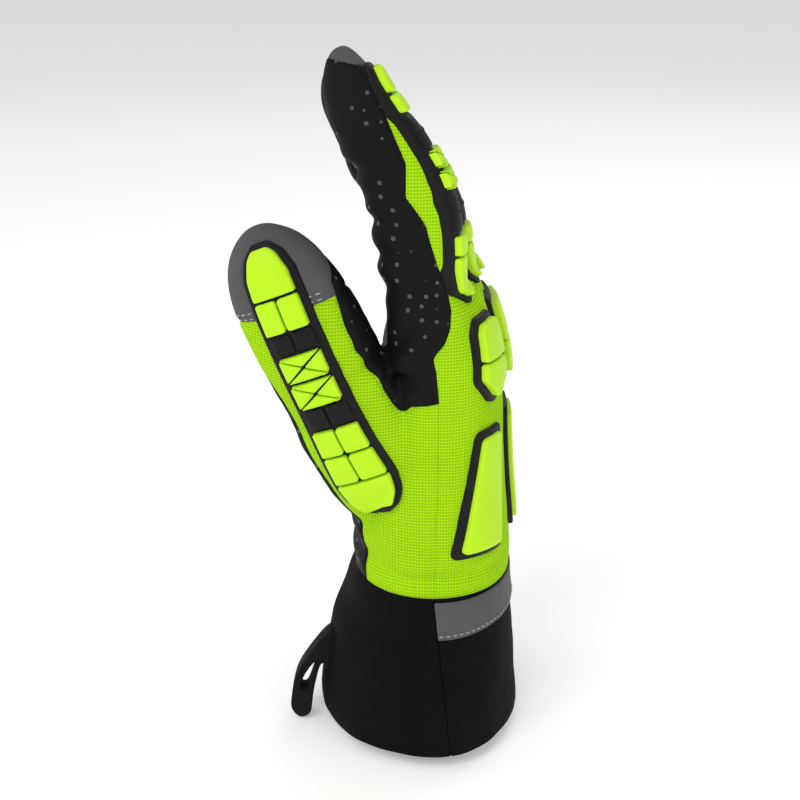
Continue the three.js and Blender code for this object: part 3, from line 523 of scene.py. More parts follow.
def crotch(p):
    """Above zero inside the patch in the crotch of the thumb."""
    x, y, z = p.T
    inside = np.full(len(p), BEYOND)
    corners = np.array(CROTCH_PATCH)
    for a, b in zip(corners, np.roll(corners, -1, 0)):
        run = unit(b - a)
        inside = np.minimum(inside, run[0] * (z - a[1]) - run[1] * (x - a[0]))
    return np.minimum(inside, CROTCH_SIDE - y)


def thumb_tip(p):
    """Above zero on the thumb's cap."""
    a, b = np.array(THUMB_CAP)
    run = unit(b - a)
    height = run[0] * (p[:, 2] - a[1]) - run[1] * (p[:, 0] - a[0])
    return np.where(of_thumb(p, THUMB_CAP_REACH), height, NOT_HERE)


def finger_tip(p):
    """Above zero on the fingers' caps."""
    out = np.full(len(p), NOT_HERE)
    owner = nearest_finger(p)
    for i, name in enumerate(FINGERS):
        start = finger_centre(name, FINGER_CAP_FROM)
        across, back = axes_at(lambda up: finger_centre(name, up), X_AXIS, FINGER_CAP_FROM)
        run = np.cross(back, across)
        mine = (owner == i) & (p[:, 2] > FINGER_TIPS_FROM)
        out[mine] = (p[mine] - start) @ (run * np.sign(run[2]))
    return out


def cut_along(bm, field, where=None):
    """Cuts the mesh along the line where a field is zero."""
    bm.verts.ensure_lookup_table()
    p = np.array([v.co for v in bm.verts]) / MM
    values = field(p)
    keep = np.ones(len(p), bool) if where is None else where(p)
    least, longest_jump = 0.02, 12
    values[np.abs(values) < least] = least
    crossed = []
    for edge in bm.edges:
        a, b = edge.verts
        i, j = a.index, b.index
        if values[i] * values[j] < 0 and keep[i] and keep[j] and abs(values[i] - values[j]) < longest_jump:
            crossed.append((edge, a, values[i] / (values[i] - values[j])))
    made = []
    for edge, a, share in crossed:
        _, vert = bmesh.utils.edge_split(edge, a, min(max(share, least), 1 - least))
        made.append(vert)
    bmesh.ops.connect_verts(bm, verts=made)
    bm.verts.index_update()


def part_of(bm, faces, name):
    """A new object of some of a mesh's faces."""
    used = {}
    out = bmesh.new()
    for face in faces:
        verts = []
        for v in face.verts:
            if v not in used:
                used[v] = out.verts.new(v.co)
            verts.append(used[v])
        out.faces.new(verts)
    return make_object(name, out)


# Materials

class Look:
    """A material in the making: its nodes, its links and its shader."""

    def __init__(self, name, roughness, specular=0.3):
        self.material = bpy.data.materials.new("look_" + name)
        self.material.use_nodes = True
        self.nodes = self.material.node_tree.nodes
        self.links = self.material.node_tree.links
        self.shader = self.nodes["Principled BSDF"]
        self.put(Roughness=roughness)
        self.shader.inputs["Specular IOR Level"].default_value = specular
        self.point = self.nodes.new("ShaderNodeNewGeometry").outputs["Position"]
        self.x, self.y, self.z = self.split(self.point)

    def put(self, **values):
        """Sets or links the shader's inputs."""
        for name, value in values.items():
            self.feed(self.shader.inputs[name.replace("_", " ")], value)

    def feed(self, socket, value):
        """Gives a socket a number, a colour or another node's output."""
        if isinstance(value, (int, float)):
            socket.default_value = value
        elif isinstance(value, tuple):
            socket.default_value = (*value, 1)
        else:
            self.links.new(value, socket)

    def math(self, operation, a, b=None, clamp=False):
        """One sum of two values."""
        node = self.nodes.new("ShaderNodeMath")
        node.operation = operation
        node.use_clamp = clamp
        self.feed(node.inputs[0], a)
        if b is not None:
            self.feed(node.inputs[1], b)
        return node.outputs[0]

    def split(self, vector):
        """A vector's three parts."""
        node = self.nodes.new("ShaderNodeSeparateXYZ")
        self.links.new(vector, node.inputs[0])
        return node.outputs

    def sideways(self):
        """A place across the weave: x where the cloth faces y, and y where it faces x."""
        facing = self.split(self.nodes.new("ShaderNodeNewGeometry").outputs["Normal"])
        use_x = self.math("LESS_THAN", self.math("ABSOLUTE", facing[0]), self.math("ABSOLUTE", facing[1]))
        return self.math("ADD", self.y, self.math("MULTIPLY", use_x, self.math("SUBTRACT", self.x, self.y)))

    def waves(self, place, turns):
        """A sine along a place, in radians a metre."""
        return self.math("SINE", self.math("MULTIPLY", place, turns))

    def noise(self, scale, detail=2.0):
        """Soft random values, this fine."""
        node = self.nodes.new("ShaderNodeTexNoise")
        node.inputs["Scale"].default_value = scale
        node.inputs["Detail"].default_value = detail
        self.links.new(self.point, node.inputs["Vector"])
        return node.outputs["Fac"]

    def mix(self, factor, a, b):
        """A colour between two."""
        node = self.nodes.new("ShaderNodeMix")
        node.data_type = "RGBA"
        for socket, value in zip((node.inputs[0], node.inputs[6], node.inputs[7]), (factor, a, b)):
            self.feed(socket, value)
        return node.outputs[2]

    def bump(self, height, distance, strength):
        """Raises the surface by a height."""
        node = self.nodes.new("ShaderNodeBump")
        node.inputs["Strength"].default_value = strength
        node.inputs["Distance"].default_value = distance
        self.links.new(height, node.inputs["Height"])
        self.links.new(node.outputs[0], self.shader.inputs["Normal"])


def scaled(colour, factor, lift=0.0):
    """A lighter or darker colour."""
    return tuple(min(c * factor + lift, 1) for c in colour)


def knit_material(colour, recess_shade):
    """Level rows of stitches crossed by upright ribs, with painted shade darkening the low places between the
    stitches.
    """
    row_pitch, rib_pitch = 0.00115, 0.00105
    look = Look("knit", 0.85, specular=0.03)
    wobble = look.math("MULTIPLY", look.noise(60), 0.0009)
    rows = look.waves(look.math("ADD", look.z, wobble), 2 * math.pi / row_pitch)
    ribs = look.waves(look.sideways(), 2 * math.pi / rib_pitch)
    grid = look.math("ADD", look.math("MULTIPLY", rows, 0.3), look.math("MULTIPLY", ribs, 0.2))
    height = look.math("ADD", grid, 0.5, clamp=True)
    patchy = look.math("MULTIPLY", look.noise(35, 4), 0.35)
    factor = look.math("ADD", look.math("MULTIPLY", height, 0.75), patchy, clamp=True)
    # The mix follows the stitches' height, which puts painted shade in their low places, and soft random
    # patches of tone
    look.put(Base_Color=look.mix(factor, recess_shade, colour))
    look.bump(height, 0.0004, 0.8)


def leather_material(name, colour, dot_colour, dot_size):
    """Grained leather, with printed grip dots unless their size is nought."""
    look = Look(name, 0.55, specular=0.1)
    cells = look.nodes.new("ShaderNodeTexVoronoi")
    cells.inputs["Scale"].default_value = 210
    cells.inputs["Randomness"].default_value = 0.35
    look.links.new(look.point, cells.inputs["Vector"])
    dot = look.math("LESS_THAN", cells.outputs["Distance"], dot_size)
    base = look.mix(look.noise(45, 3), colour, scaled(colour, 1.9))
    look.put(Base_Color=look.mix(look.math("MULTIPLY", dot, 0.4), base, dot_colour),
             Roughness=look.math("SUBTRACT", 0.62, look.math("MULTIPLY", dot, 0.3)))
    grain = look.math("MULTIPLY", look.noise(900, 5), 0.35)
    look.bump(look.math("ADD", grain, dot), 0.0003, 0.7)


def fabric_material(name, colour, roughness, fine, depth, varied=1.6):
    """Woven or foamed cloth with a fine grain."""
    look = Look(name, roughness, specular=0.06)
    weave = look.math("MULTIPLY", look.waves(look.z, fine), look.waves(look.sideways(), fine))
    factor = look.math("ADD", look.math("MULTIPLY", weave, 0.15), look.noise(55, 4), clamp=True)
    look.put(Base_Color=look.mix(factor, colour, scaled(colour, varied)))
    look.bump(look.math("ADD", look.math("MULTIPLY", weave, 0.5), look.noise(700, 4)), depth, 0.6)


def rubber_material(name, colour, roughness):
    """Moulded rubber, a little lighter on its edges."""
    look = Look(name, roughness, specular=0.16)
    edge = look.nodes.new("ShaderNodeNewGeometry").outputs["Pointiness"]
    # The colour is lighter where the surface is pointy, on its sharp edges
    edge_lightening = look.math("MULTIPLY", look.math("SUBTRACT", edge, 0.5), 3.0, clamp=True)
    base = look.mix(look.noise(90, 3), scaled(colour, 0.92), colour)
    look.put(Base_Color=look.mix(edge_lightening, base, scaled(colour, 1.35, 0.02)))
    look.bump(look.noise(1500, 3), 0.00008, 0.6)


def finish_piece(made, slot, replaced=(), look=None):
    """Gives a piece its material, by its own look or else by its slot, sets it on the root body and hides the
    frame's nodes that it stands for.
    """
    made.data.materials.clear()
    made.data.materials.append(bpy.data.materials["look_" + (look or slot)])
    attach(made, "root")
    if replaced:
        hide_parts(*replaced)


def colour_property(name, description, default):
    """A colour that a user can change."""
    return bpy.props.FloatVectorProperty(name=name, description=description, default=default,
                                         subtype="COLOR", min=0, max=1)


def length_property(name, description, default, least, most):
    """A length in metres that a user can change."""
    return bpy.props.FloatProperty(name=name, description=description, default=default, min=least, max=most,
                                   subtype="DISTANCE", unit="LENGTH")


class GloveColours(bpy.types.PropertyGroup):
    """Colours of the glove's materials."""
    knit: colour_property("Knit", "Colour of the knit", (0.5, 0.92, 0.012))
    # Painted shade: the knit's colour darkened in the low places between its stitches
    knit_recess_shade: colour_property("Knit, dark", "Colour between the stitches", (0.2, 0.42, 0.004))
    rubber: colour_property("Pads", "Colour of the guards' pads", (0.52, 0.9, 0.015))
    border: colour_property("Borders", "Colour of the guards' borders", (0.007, 0.007, 0.0075))
    black: colour_property("Black", "Colour of the leather and the cuff", (0.0045, 0.0045, 0.0047))
    dots: colour_property("Grip dots", "Colour of the dots on the palm", (0.2, 0.2, 0.21))
    grey: colour_property("Grey", "Colour of the fingertip caps", (0.075, 0.075, 0.078))
    band: colour_property("Band", "Colour of the reflective band", (0.085, 0.082, 0.084))
    webbing: colour_property("Webbing", "Colour of the pull loop", (0.009, 0.009, 0.01))
    thread: colour_property("Thread", "Colour of the stitches", (0.3, 0.3, 0.3))


class GloveSizes(bpy.types.PropertyGroup):
    """Sizes of the glove's details."""
    voxel: length_property("Fineness", "Edge length of the soft body's faces", 0.0009, 0.0005, 0.003)
    seam_depth: length_property("Seam depth", "How deep a seam pulls the fabric in", 0.0006, 0, 0.003)
    pad_height: length_property("Pad height", "How far the pads stand over the fabric", 0.004, 0.001, 0.01)
    stitch: length_property("Stitch", "Length of one stitch", 0.0017, 0.0005, 0.005)


class GLOVE_OT_materials(bpy.types.Operator):
    """Make the glove's materials"""
    bl_idname = "glove.materials"
    bl_label = "Materials"

    def execute(self, context):
        colours = context.scene.glove_colours
        black = tuple(colours.black)
        knit_material(tuple(colours.knit), tuple(colours.knit_recess_shade))
        leather_material("palm_leather", black, tuple(colours.dots), 0.17)
        leather_material("plain_leather", black, tuple(colours.dots), 0.0)
        fabric_material("neoprene", scaled(black, 0.8), 0.78, 7000, 0.00015)
        fabric_material("grey_cap", tuple(colours.grey), 0.72, 5200, 0.0002)
        fabric_material("reflective", tuple(colours.band), 0.5, 6400, 0.0001, varied=1.4)
        fabric_material("webbing", tuple(colours.webbing), 0.7, 5000, 0.0004)
        fabric_material("thread", tuple(colours.thread), 0.7, 9000, 0.0001)
        rubber_material("green_rubber", tuple(colours.rubber), 0.42)
        rubber_material("black_rubber", tuple(colours.border), 0.5)
        return {"FINISHED"}


def body_surface(voxel):
    """The hand and all the digits as one smooth closed skin."""
    bm = bmesh.new()
    angles = np.linspace(0, 2 * math.pi, 96, endpoint=False)
    rings = []
    for up in np.concatenate([[-0.1], np.linspace(0, 0.9, 50), np.linspace(0.915, 1, 10)]):
        rings.append(level_ring(HAND_ROWS, max(up, 0), HAND_DEEP, HAND_WIDE, HAND_CENTRE_X,
                                CUFF_HEIGHT + up * HAND_HEIGHT, angles))
    lofted(bm, rings)
    for name in FINGERS:
        lofted(bm, digit_rings(lambda up: finger_centre(name, up), X_AXIS,
                               lambda up: finger_size(name, up), FINGER_NARROWED))
    lofted(bm, digit_rings(thumb_centre, THUMB_BACK, thumb_size))
    bmesh.ops.recalc_face_normals(bm, faces=bm.faces)
    made = make_object("soft_body", bm)
    remesh = made.modifiers.new("remesh", "REMESH")
    remesh.mode = "VOXEL"
    remesh.voxel_size = voxel
    smooth = made.modifiers.new("smooth", "SMOOTH")
    smooth.iterations = 14
    smooth.factor = 0.5
    return baked(made)


FOLD_STRENGTH = 1.35
FOLD_REACH = 14.0
# Each fold's place, direction, depth, half width and half length
FOLDS = (
    ((-12, -48, 152), (0.75, 0, 0.66), 1.3, 2.2, 14),
    ((-22, -46, 152), (0.8, 0, 0.6), 0.7, 2.0, 10),
    ((-10, -36, 198), (0.9, 0, 0.3), 1.2, 2.2, 12),
    ((-14, -36, 184), (0.95, 0, 0.1), 0.8, 2.6, 12),
    ((-20, -36, 214), (0.9, 0, 0.35), 0.9, 2.2, 10),
    ((-8, -36, 172), (0.95, 0, -0.15), 0.8, 3.2, 12),
    ((-22, -36, 226), (0.85, 0, 0.45), 1.0, 2.2, 9),
    ((16, -38, 66), (0.95, 0.25, 0.12), 1.3, 2.8, 20),
    ((22, -34, 73), (0.9, 0.3, 0.3), 0.8, 2.6, 16),
    ((-12, -38, 66), (0.95, -0.2, -0.15), 0.9, 3.0, 18),
    ((6, 46, 68), (1, 0, 0.1), 1.1, 3.2, 22),
    ((-22, 0, 72), (0, 1, 0.08), 1.2, 3.4, 30),
    ((-22, 6, 92), (0, 1, -0.2), 0.8, 3.8, 26),
    ((-22, 10, 118), (0, 1, 0.3), 0.9, 3.4, 22),
    ((-18, -8, 106), (0, 0.6, 0.8), 1.1, 3.0, 26),
    ((-14, 8, 138), (0, 1, 0.05), 1.0, 3.0, 30),
)


def fold_depth(p):
    """How far the folds push each point in."""
    out = np.zeros(len(p))
    for at, run, depth, half, length in FOLDS:
        run = unit(run)
        off = p - np.array(at)
        s = off @ run
        across = off - s[:, None] * run
        side = across[:, 2] / half
        bulge = np.exp(-(s / length) ** 2) * np.exp(-np.sum(across[:, :2] ** 2, 1) / FOLD_REACH ** 2)
        crease = np.exp(-side ** 2) - 0.45 * np.exp(-(np.abs(side) - 1.9) ** 2)
        out += FOLD_STRENGTH * depth * bulge * crease
    return out


def soften(p, depth, scale, seed):
    """Soft random waves of a depth and a size."""
    return np.array([noise.noise(Vector(q / scale) + Vector((seed, 0, 0))) for q in p]) * depth


def press_seams(mesh, seam_depth):
    """Pulls the seams in and lays folds and soft waves over the skin."""
    p = coords(mesh)
    on_leather = leather(p)
    seams = (on_leather, np.where(on_leather < 0, side_seam(p), NO_SEAM), thumb_tip(p),
             np.where(on_leather < 0.5, finger_tip(p), NO_SEAM), crotch(p))
    pull = np.max([np.exp(-(field / SEAM_HALF_WIDE) ** 2) for field in seams], 0)
    push = soften(p, *CLOTH_WAVES) + soften(p, *LEATHER_WAVES) * (on_leather > 0)
    move = push - fold_depth(p) - pull * seam_depth
    move += np.clip(on_leather / 1.2, 0, 1) * LEATHER_LIFT
    fade = np.clip((p[:, 2] - CUFF_HEIGHT) / 6, 0, 1)
    set_coords(mesh, p + normals(mesh) * (move * fade)[:, None])


def cut_body(mesh):
    """The skin without its closed foot, cut along every seam."""
    bm = bmesh.new()
    bm.from_mesh(mesh)
    bmesh.ops.bisect_plane(bm, geom=[*bm.verts, *bm.edges, *bm.faces],
                           plane_co=(0, 0, (CUFF_HEIGHT + 0.2) * MM), plane_no=(0, 0, 1), clear_inner=True)
    bm.verts.index_update()
    cut_along(bm, leather)
    cut_along(bm, side_seam, lambda q: (q[:, 2] < FINGERS_ALL) & (leather(q) < 1))
    cut_along(bm, thumb_tip, lambda q: of_thumb(q, THUMB_PIECES_REACH) & (q[:, 2] > 140))
    cut_along(bm, finger_tip, lambda q: q[:, 2] > FINGER_TIPS_FROM)
    low, high = CROTCH_HEIGHTS
    cut_along(bm, crotch, lambda q: (q[:, 1] < CROTCH_SIDE) & (q[:, 2] < high) & (q[:, 2] > low))
    bm.faces.ensure_lookup_table()
    return bm


def body_groups(p):
    """Which piece each face's middle belongs to."""
    is_leather = leather(p) > 0
    is_patch = crotch(p) > 0
    on_thumb = of_thumb(p, THUMB_PIECES_REACH) & (p[:, 2] > THUMB_FROM)
    thumb_cap = on_thumb & (thumb_tip(p) > 0) & ~is_leather
    finger_cap = (finger_tip(p) > 0) & ~is_leather & ~on_thumb
    is_back = (side_seam(p) > 0) | ((p[:, 2] > FINGERS_ALL) & ~on_thumb)
    is_knit = ~is_leather & ~is_patch & ~finger_cap & ~thumb_cap
    owner = nearest_finger(p)
    groups = {
        "palm": is_leather & ~is_patch & ~on_thumb,
        "thumb_leather": is_leather & on_thumb & ~is_patch,
        "crotch_patch_leather": is_patch,
        "thumb_tip_cap": thumb_cap & ~is_patch,
        "back_knit": is_knit & is_back,
        "thumb_knit": is_knit & ~is_back,
    }
    for i, name in enumerate(FINGERS):
        groups[name + "_tip_cap"] = finger_cap & (owner == i) & ~is_patch
    return groups


# Each piece's slot, its own look where it has one, and the frame's nodes that it stands for
BODY_PIECES = {
    "palm": ("palm_leather", None, ["hand_palm"] + [name + "_palm" for name in FINGERS]),
    "thumb_leather": ("palm_leather", None, ["thumb_palm"]),
    "crotch_patch_leather": ("palm_leather", "plain_leather", ["crotch_patch"]),
    "thumb_tip_cap": ("grey_cap", None, ["thumb_cap"]),
    "back_knit": ("knit", None, ["hand_back"] + [name + "_back" for name in FINGERS]),
    "thumb_knit": ("knit", None, ["thumb_panel"]),
    **{name + "_tip_cap": ("grey_cap", None, [name + "_cap"]) for name in FINGERS},
}


class GLOVE_OT_body(bpy.types.Operator):
    """Build the knit back, the leather palm, the thumb and the fingers"""
    bl_idname = "glove.body"
    bl_label = "Soft body"

    def execute(self, context):
        sizes = context.scene.glove_sizes
        body = body_surface(sizes.voxel * (1))
        smooth = body.data.copy()
        smooth.name = "smooth_skin"
        smooth.use_fake_user = True
        press_seams(body.data, sizes.seam_depth / MM)
        bm = cut_body(body.data)
        bpy.data.objects.remove(body)
        groups = body_groups(np.array([face.calc_center_median() for face in bm.faces]) / MM)
        for name, (slot, look, nodes) in BODY_PIECES.items():
            faces = [bm.faces[i] for i in np.nonzero(groups[name])[0]]
            if not faces:
                raise RuntimeError("no faces in " + name)
            made = part_of(bm, faces, name)
            skin = made.modifiers.new("skin", "SOLIDIFY")
            skin.thickness = FABRIC * MM
            skin.offset = -1
            finish_piece(baked(made), slot, nodes, look)
        bm.free()
        return {"FINISHED"}


def cuff_ring(z, angles, grow=0.0):
    """A ring of the cuff at a height."""
    up = min(max(z / (CUFF_HEIGHT - 0.3), 0), 1)
    centre = float(smooth_at(CUFF_ROWS, "centre", up))
    return level_ring(CUFF_ROWS, up, CUFF_DEEP, CUFF_WIDE, centre, z, angles, grow)


def cuff_angles(z, half, count, inset):
    """Angles round the cuff from seam to seam, on its back half or its palm half."""
    angles = np.linspace(-math.pi, math.pi, 1441)
    behind = cuff_ring(z, angles)[:, 0] > along(SIDE_SEAM, z)
    near = angles[behind & (angles < 0)].min()
    far = angles[behind & (angles > 0)].max()
    if half == "back":
        return np.linspace(near + inset, far - inset, count)
    return np.linspace(far + inset, near + 2 * math.pi - inset, count)


def cuff_out(p):
    """Straight out of the cuff at points on it."""
    p = np.asarray(p)
    return unit(np.stack([p[..., 0] - 5, p[..., 1] * 0.75, np.zeros(p.shape[:-1])], -1))


def cuff_half(name, half, low, high, grow, thick, count, levels):
    """One half of the cuff, or a band on it, with its thickness and rounded rims."""
    heights = [low + (high - low) * k / levels for k in range(levels + 1)]
    flat = np.vstack([cuff_ring(z, cuff_angles(z, half, count, -0.0015), grow) for z in heights])
    x, _, z = flat.T
    crease_z, crease_half, crease_depth = CUFF_CREASE
    move = sum(soften(flat, *waves) for waves in CUFF_WAVES) * np.clip((CUFF_HEIGHT - z) / 12, 0, 1)
    move -= crease_depth * np.exp(-((z - crease_z) / crease_half) ** 2) * np.clip(-x / 30, 0, 1)
    flat = flat + cuff_out(flat) * move[:, None]
    bm = bmesh.new()
    verts = [[bm.verts.new(q * MM) for q in row] for row in flat.reshape(levels + 1, count, 3)]
    for a, b in zip(verts, verts[1:]):
        for i in range(count - 1):
            bm.faces.new((a[i], a[i + 1], b[i + 1], b[i]))
    made = make_object(name, bm)
    solid = made.modifiers.new("thick", "SOLIDIFY")
    solid.thickness = thick * MM
    solid.offset = -1
    bevel = made.modifiers.new("round", "BEVEL")
    bevel.width = min(thick * 0.45, 1.2) * MM
    bevel.segments = 3
    bevel.limit_method = "ANGLE"
    bevel.angle_limit = math.radians(50)
    return baked(made)


class GLOVE_OT_cuff(bpy.types.Operator):
    """Build the neoprene cuff, its reflective band and the pull loop"""
    bl_idname = "glove.cuff"
    bl_label = "Cuff"

    def execute(self, context):
        for half in ("back", "palm"):
            made = cuff_half("neoprene_" + half, half, 0, CUFF_HEIGHT + 0.6, 0, NEOPRENE, 110, 46)
            finish_piece(made, "neoprene", ["cuff_" + half])
        band = cuff_half("reflective_tape", "back", *BAND, BAND_GROW, BAND_THICK, 120, 14)
        finish_piece(band, "reflective", ["reflective_band"])
        finish_piece(pull_loop(), "webbing", ["pull_loop"])
        return {"FINISHED"}


def curved(points, per=5):
    """A closed smooth curve through points."""
    p = np.array(points, float)
    count = len(p)
    out = []
    for i in range(count):
        a, b, c, d = p[i - 1], p[i], p[(i + 1) % count], p[(i + 2) % count]
        for t in np.arange(per) / per:
            square, cube = 2 * a - 5 * b + 4 * c - d, 3 * b - a - 3 * c + d
            out.append(0.5 * (2 * b + (c - a) * t + square * t * t + cube * t ** 3))
    return np.array(out)


def pull_loop():
    """The pull loop: webbing folded into a drop with a small hole."""
    reach, length, wide = LOOP_SIZE
    curve = bpy.data.curves.new("pull_loop", "CURVE")
    curve.dimensions = "2D"
    curve.fill_mode = "BOTH"
    for outline in (LOOP_OUTLINE, LOOP_HOLE):
        points = curved([(LOOP_TOP[0] - u * reach, LOOP_TOP[2] - v * length) for u, v in outline])
        spline = curve.splines.new("POLY")
        spline.points.add(len(points) - 1)
        for point, (x, z) in zip(spline.points, points):
            point.co = (x * MM, z * MM, 0, 1)
        spline.use_cyclic_u = True
    curve.extrude = (wide / 2 - LOOP_ROUNDING) * MM
    curve.bevel_depth = LOOP_ROUNDING * MM
    curve.bevel_resolution = 2
    made = bpy.data.objects.new("pull_loop_webbing", curve)
    bpy.context.scene.collection.objects.link(made)
    made.rotation_euler = (math.pi / 2, 0, 0)
    made.location = (0, LOOP_TOP[1] * MM, 0)
    bpy.context.view_layer.update()
    mesh = bpy.data.meshes.new_from_object(made.evaluated_get(bpy.context.evaluated_depsgraph_get()))
    mesh.transform(made.matrix_world)
    bpy.data.objects.remove(made)
    return linked("pull_loop_webbing", mesh)


# Guards

class Ground:
    """A surface that guards and stitches lie on."""

    def __init__(self, meshes):
        verts, faces = [], []
        for mesh in meshes:
            first = len(verts)
            verts += [v.co.copy() for v in mesh.vertices]
            faces += [tuple(first + i for i in f.vertices) for f in mesh.polygons]
        self.tree = BVHTree.FromPolygons(verts, faces)

    def drop(self, point, out, reach=45.0):
        """The surface point and normal under a point, looked at from outside along a direction."""
        start = Vector((point + out * reach) * MM)
        hit, normal, _, _ = self.tree.ray_cast(start, Vector(-out), 2.4 * reach * MM)
        if hit is None:
            hit, normal, _, _ = self.tree.find_nearest(Vector(point * MM))
        normal = np.array(normal)
        if normal @ out < 0:
            normal = -normal
        return np.array(hit) / MM, normal


def resampled(points, step):
    """A closed outline with evenly spaced points."""
    p = np.vstack([points, points[:1]])
    lengths = np.concatenate([[0], np.cumsum(np.linalg.norm(np.diff(p, axis=0), axis=1))])
    count = max(int(lengths[-1] / step), 12)
    at = np.linspace(0, lengths[-1], count, endpoint=False)
    return np.stack([np.interp(at, lengths, p[:, 0]), np.interp(at, lengths, p[:, 1])], 1)


def rounded(points, radius):
    """An outline with its corners rounded."""
    out = []
    p = np.array(points, float)
    count = len(p)
    for i in range(count):
        a, b, c = p[i - 1], p[i], p[(i + 1) % count]
        reach = min(radius, np.linalg.norm(a - b) * 0.45, np.linalg.norm(c - b) * 0.45)
        start = b + unit(a - b) * reach
        end = b + unit(c - b) * reach
        for t in (0, 0.25, 0.5, 0.75, 1):
            out.append((1 - t) ** 2 * start + 2 * t * (1 - t) * b + t * t * end)
    return np.array(out)


def offset_in(points, distance):
    """The outline moved inwards."""
    p = np.array(points, float)
    before = unit(p - np.roll(p, 1, 0))
    after = unit(np.roll(p, -1, 0) - p)
    run = unit(before + after)
    normal = np.stack([-run[:, 1], run[:, 0]], 1)
    return p + normal * distance


def plate(bm, ground, place, points, profile, crown=0.15, step=0.9, layers=6):
    """A plate or pad on the ground: an outline raised along a profile of (inset, height)."""
    origin, across, up, out = place
    outline = resampled(points, step)
    x, y = outline.T
    if np.sum(x * np.roll(y, -1) - y * np.roll(x, -1)) < 0:
        outline = outline[::-1]
    rings = [(offset_in(outline, inset), height) for inset, height in profile]
    top, height = rings[-1]
    middle = top.mean(0)
    for k in range(1, layers + 1):
        share = 1 - k / (layers + 1)
        rings.append((middle + (top - middle) * share, height + crown * (1 - share * share)))
    rings.append((np.array([middle]), height + crown))
    levels = []
    for ring, height in rings:
        level = []
        for u, v in ring:
            point = origin + u * across + v * up
            hit, normal = ground.drop(point, out)
            direction = unit(normal - 0.8 * (normal @ across) * across + out)
            level.append(bm.verts.new((hit + direction * height) * MM))
        levels.append(level)
    count = len(levels[0])
    for a, b in zip(levels, levels[1:]):
        for i in range(count):
            j = (i + 1) % count
            if len(b) == 1:
                bm.faces.new((a[i], a[j], b[0]))
            else:
                bm.faces.new((a[i], a[j], b[j], b[i]))


def pad_profile(high, bevel=0.7, low=PAD_FOOT):
    """A pad's straight side and rounded edge, as (inset, height)."""
    return [(0, low), (0, high - bevel), (0.12 * bevel, high - 0.5 * bevel),
            (0.4 * bevel, high - 0.18 * bevel), (bevel, high)]


def strip_width(rows, v):
    """A strip's half width at a height."""
    return np.interp(v, [r[0] for r in rows], [r[1] for r in rows])


def strip_outline(rows, low, high, inset, half=None, step=1.2):
    """The part of a strip between two heights, or only its left or right half."""
    heights = np.linspace(low, high, max(int((high - low) / step), 2))
    right = [(max(strip_width(rows, v) - inset, 0.5), v) for v in heights]
    left = [(-max(strip_width(rows, v) - inset, 0.5), v) for v in heights[::-1]]
    if half == "right":
        left = [(GROOVE, high), (GROOVE, low)]
    if half == "left":
        right = [(-GROOVE, low), (-GROOVE, high)]
    return right + left


def cross_pads(rows, low, high, inset):
    """A square pad parted by a diagonal cross of grooves."""
    middle = (low + high) / 2
    half = float(strip_width(rows, middle)) - inset
    corners = np.array([(-half, low), (half, low), (half, high), (-half, high)])
    out = []
    for a, b in zip(corners, np.roll(corners, -1, 0)):
        triangle = (a, b, np.array((0.0, middle)))
        inside = sum(triangle) / 3
        out.append([p + unit(inside - p) * 0.45 * 1.3 for p in triangle])
    return out


def finish_guard(name, black, green, node):
    """A guard's two pieces: the border with its spacers, and the green pads."""
    finish_piece(make_object(name + "_border", black), "black_rubber", [node])
    finish_piece(make_object(name + "_pads", green), "green_rubber")


def strip_guard(name, ground, place, rows, pads, node, corner):
    """A long guard: a black border, black spacers and green pads."""
    green, black = bmesh.new(), bmesh.new()
    base = strip_outline(rows, rows[0][0], rows[-1][0], 0)
    plate(black, ground, place, rounded(base, 1.0), BORDER_PROFILE, 0, 0.9, 10)
    top = bpy.context.scene.glove_sizes.pad_height / MM
    for low, high, colour, pattern in pads:
        low, high = low + PAD_GAP, high - PAD_GAP
        target = green if colour == "green" else black
        height = top if colour == "green" else top - SPACER_DROP
        if pattern == "cross":
            for triangle in cross_pads(rows, low, high, BORDER):
                plate(target, ground, place, rounded(triangle, 0.5), pad_profile(height, 0.55), 0.05, 0.6, 3)
        elif pattern == "split":
            for half in ("left", "right"):
                outline = rounded(strip_outline(rows, low, high, BORDER, half), 1.3)
                plate(target, ground, place, outline, pad_profile(height), 0.1, 0.7, 4)
        else:
            round_by = corner if (low < rows[1][0] or high > rows[-2][0]) else 1.3
            outline = rounded(strip_outline(rows, low, high, BORDER), round_by)
            plate(target, ground, place, outline, pad_profile(height), 0.2, 0.7, 6)
        if pattern == "slot":
            middle = (low + high) / 2
            slot = [(x * SLOT[0], middle + y * SLOT[1]) for x, y in ((-1, -1), (1, -1), (1, 1), (-1, 1))]
            profile = pad_profile(height + 0.5, 0.35, height - 0.4)
            plate(target, ground, place, rounded(slot, 0.5), profile, 0, 0.5, 2)
    finish_guard(name, black, green, node)


def plate_guard(name, ground, y, z, azimuth, outline, radius, cuts, rise):
    """A plate on the hand, facing an azimuth: a black border and green pads parted at some heights."""
    turn = math.radians(azimuth)
    out = np.array([math.cos(turn), math.sin(turn), 0])
    place = (np.array([HAND_CENTRE_X, y, z]), np.cross(Z_AXIS, out), Z_AXIS, out)
    green, black = bmesh.new(), bmesh.new()
    plate(black, ground, place, rounded(outline, radius), PLATE_PROFILE, 0, 0.9, 8)
    edge = inset_polygon(outline, BORDER)
    low, high = edge[:, 1].min(), edge[:, 1].max()
    levels = [low, *cuts, high]
    for a, b in zip(levels, levels[1:]):
        part = clip_level(edge, a + (PLATE_GAP if a > low else 0), b - (PLATE_GAP if b < high else 0))
        corner = max(radius - 0.8, 1.2)
        plate(green, ground, place, rounded(part, corner), pad_profile(rise), 0.25, 0.8, 7)
    finish_guard(name, black, green, name + "_guard")


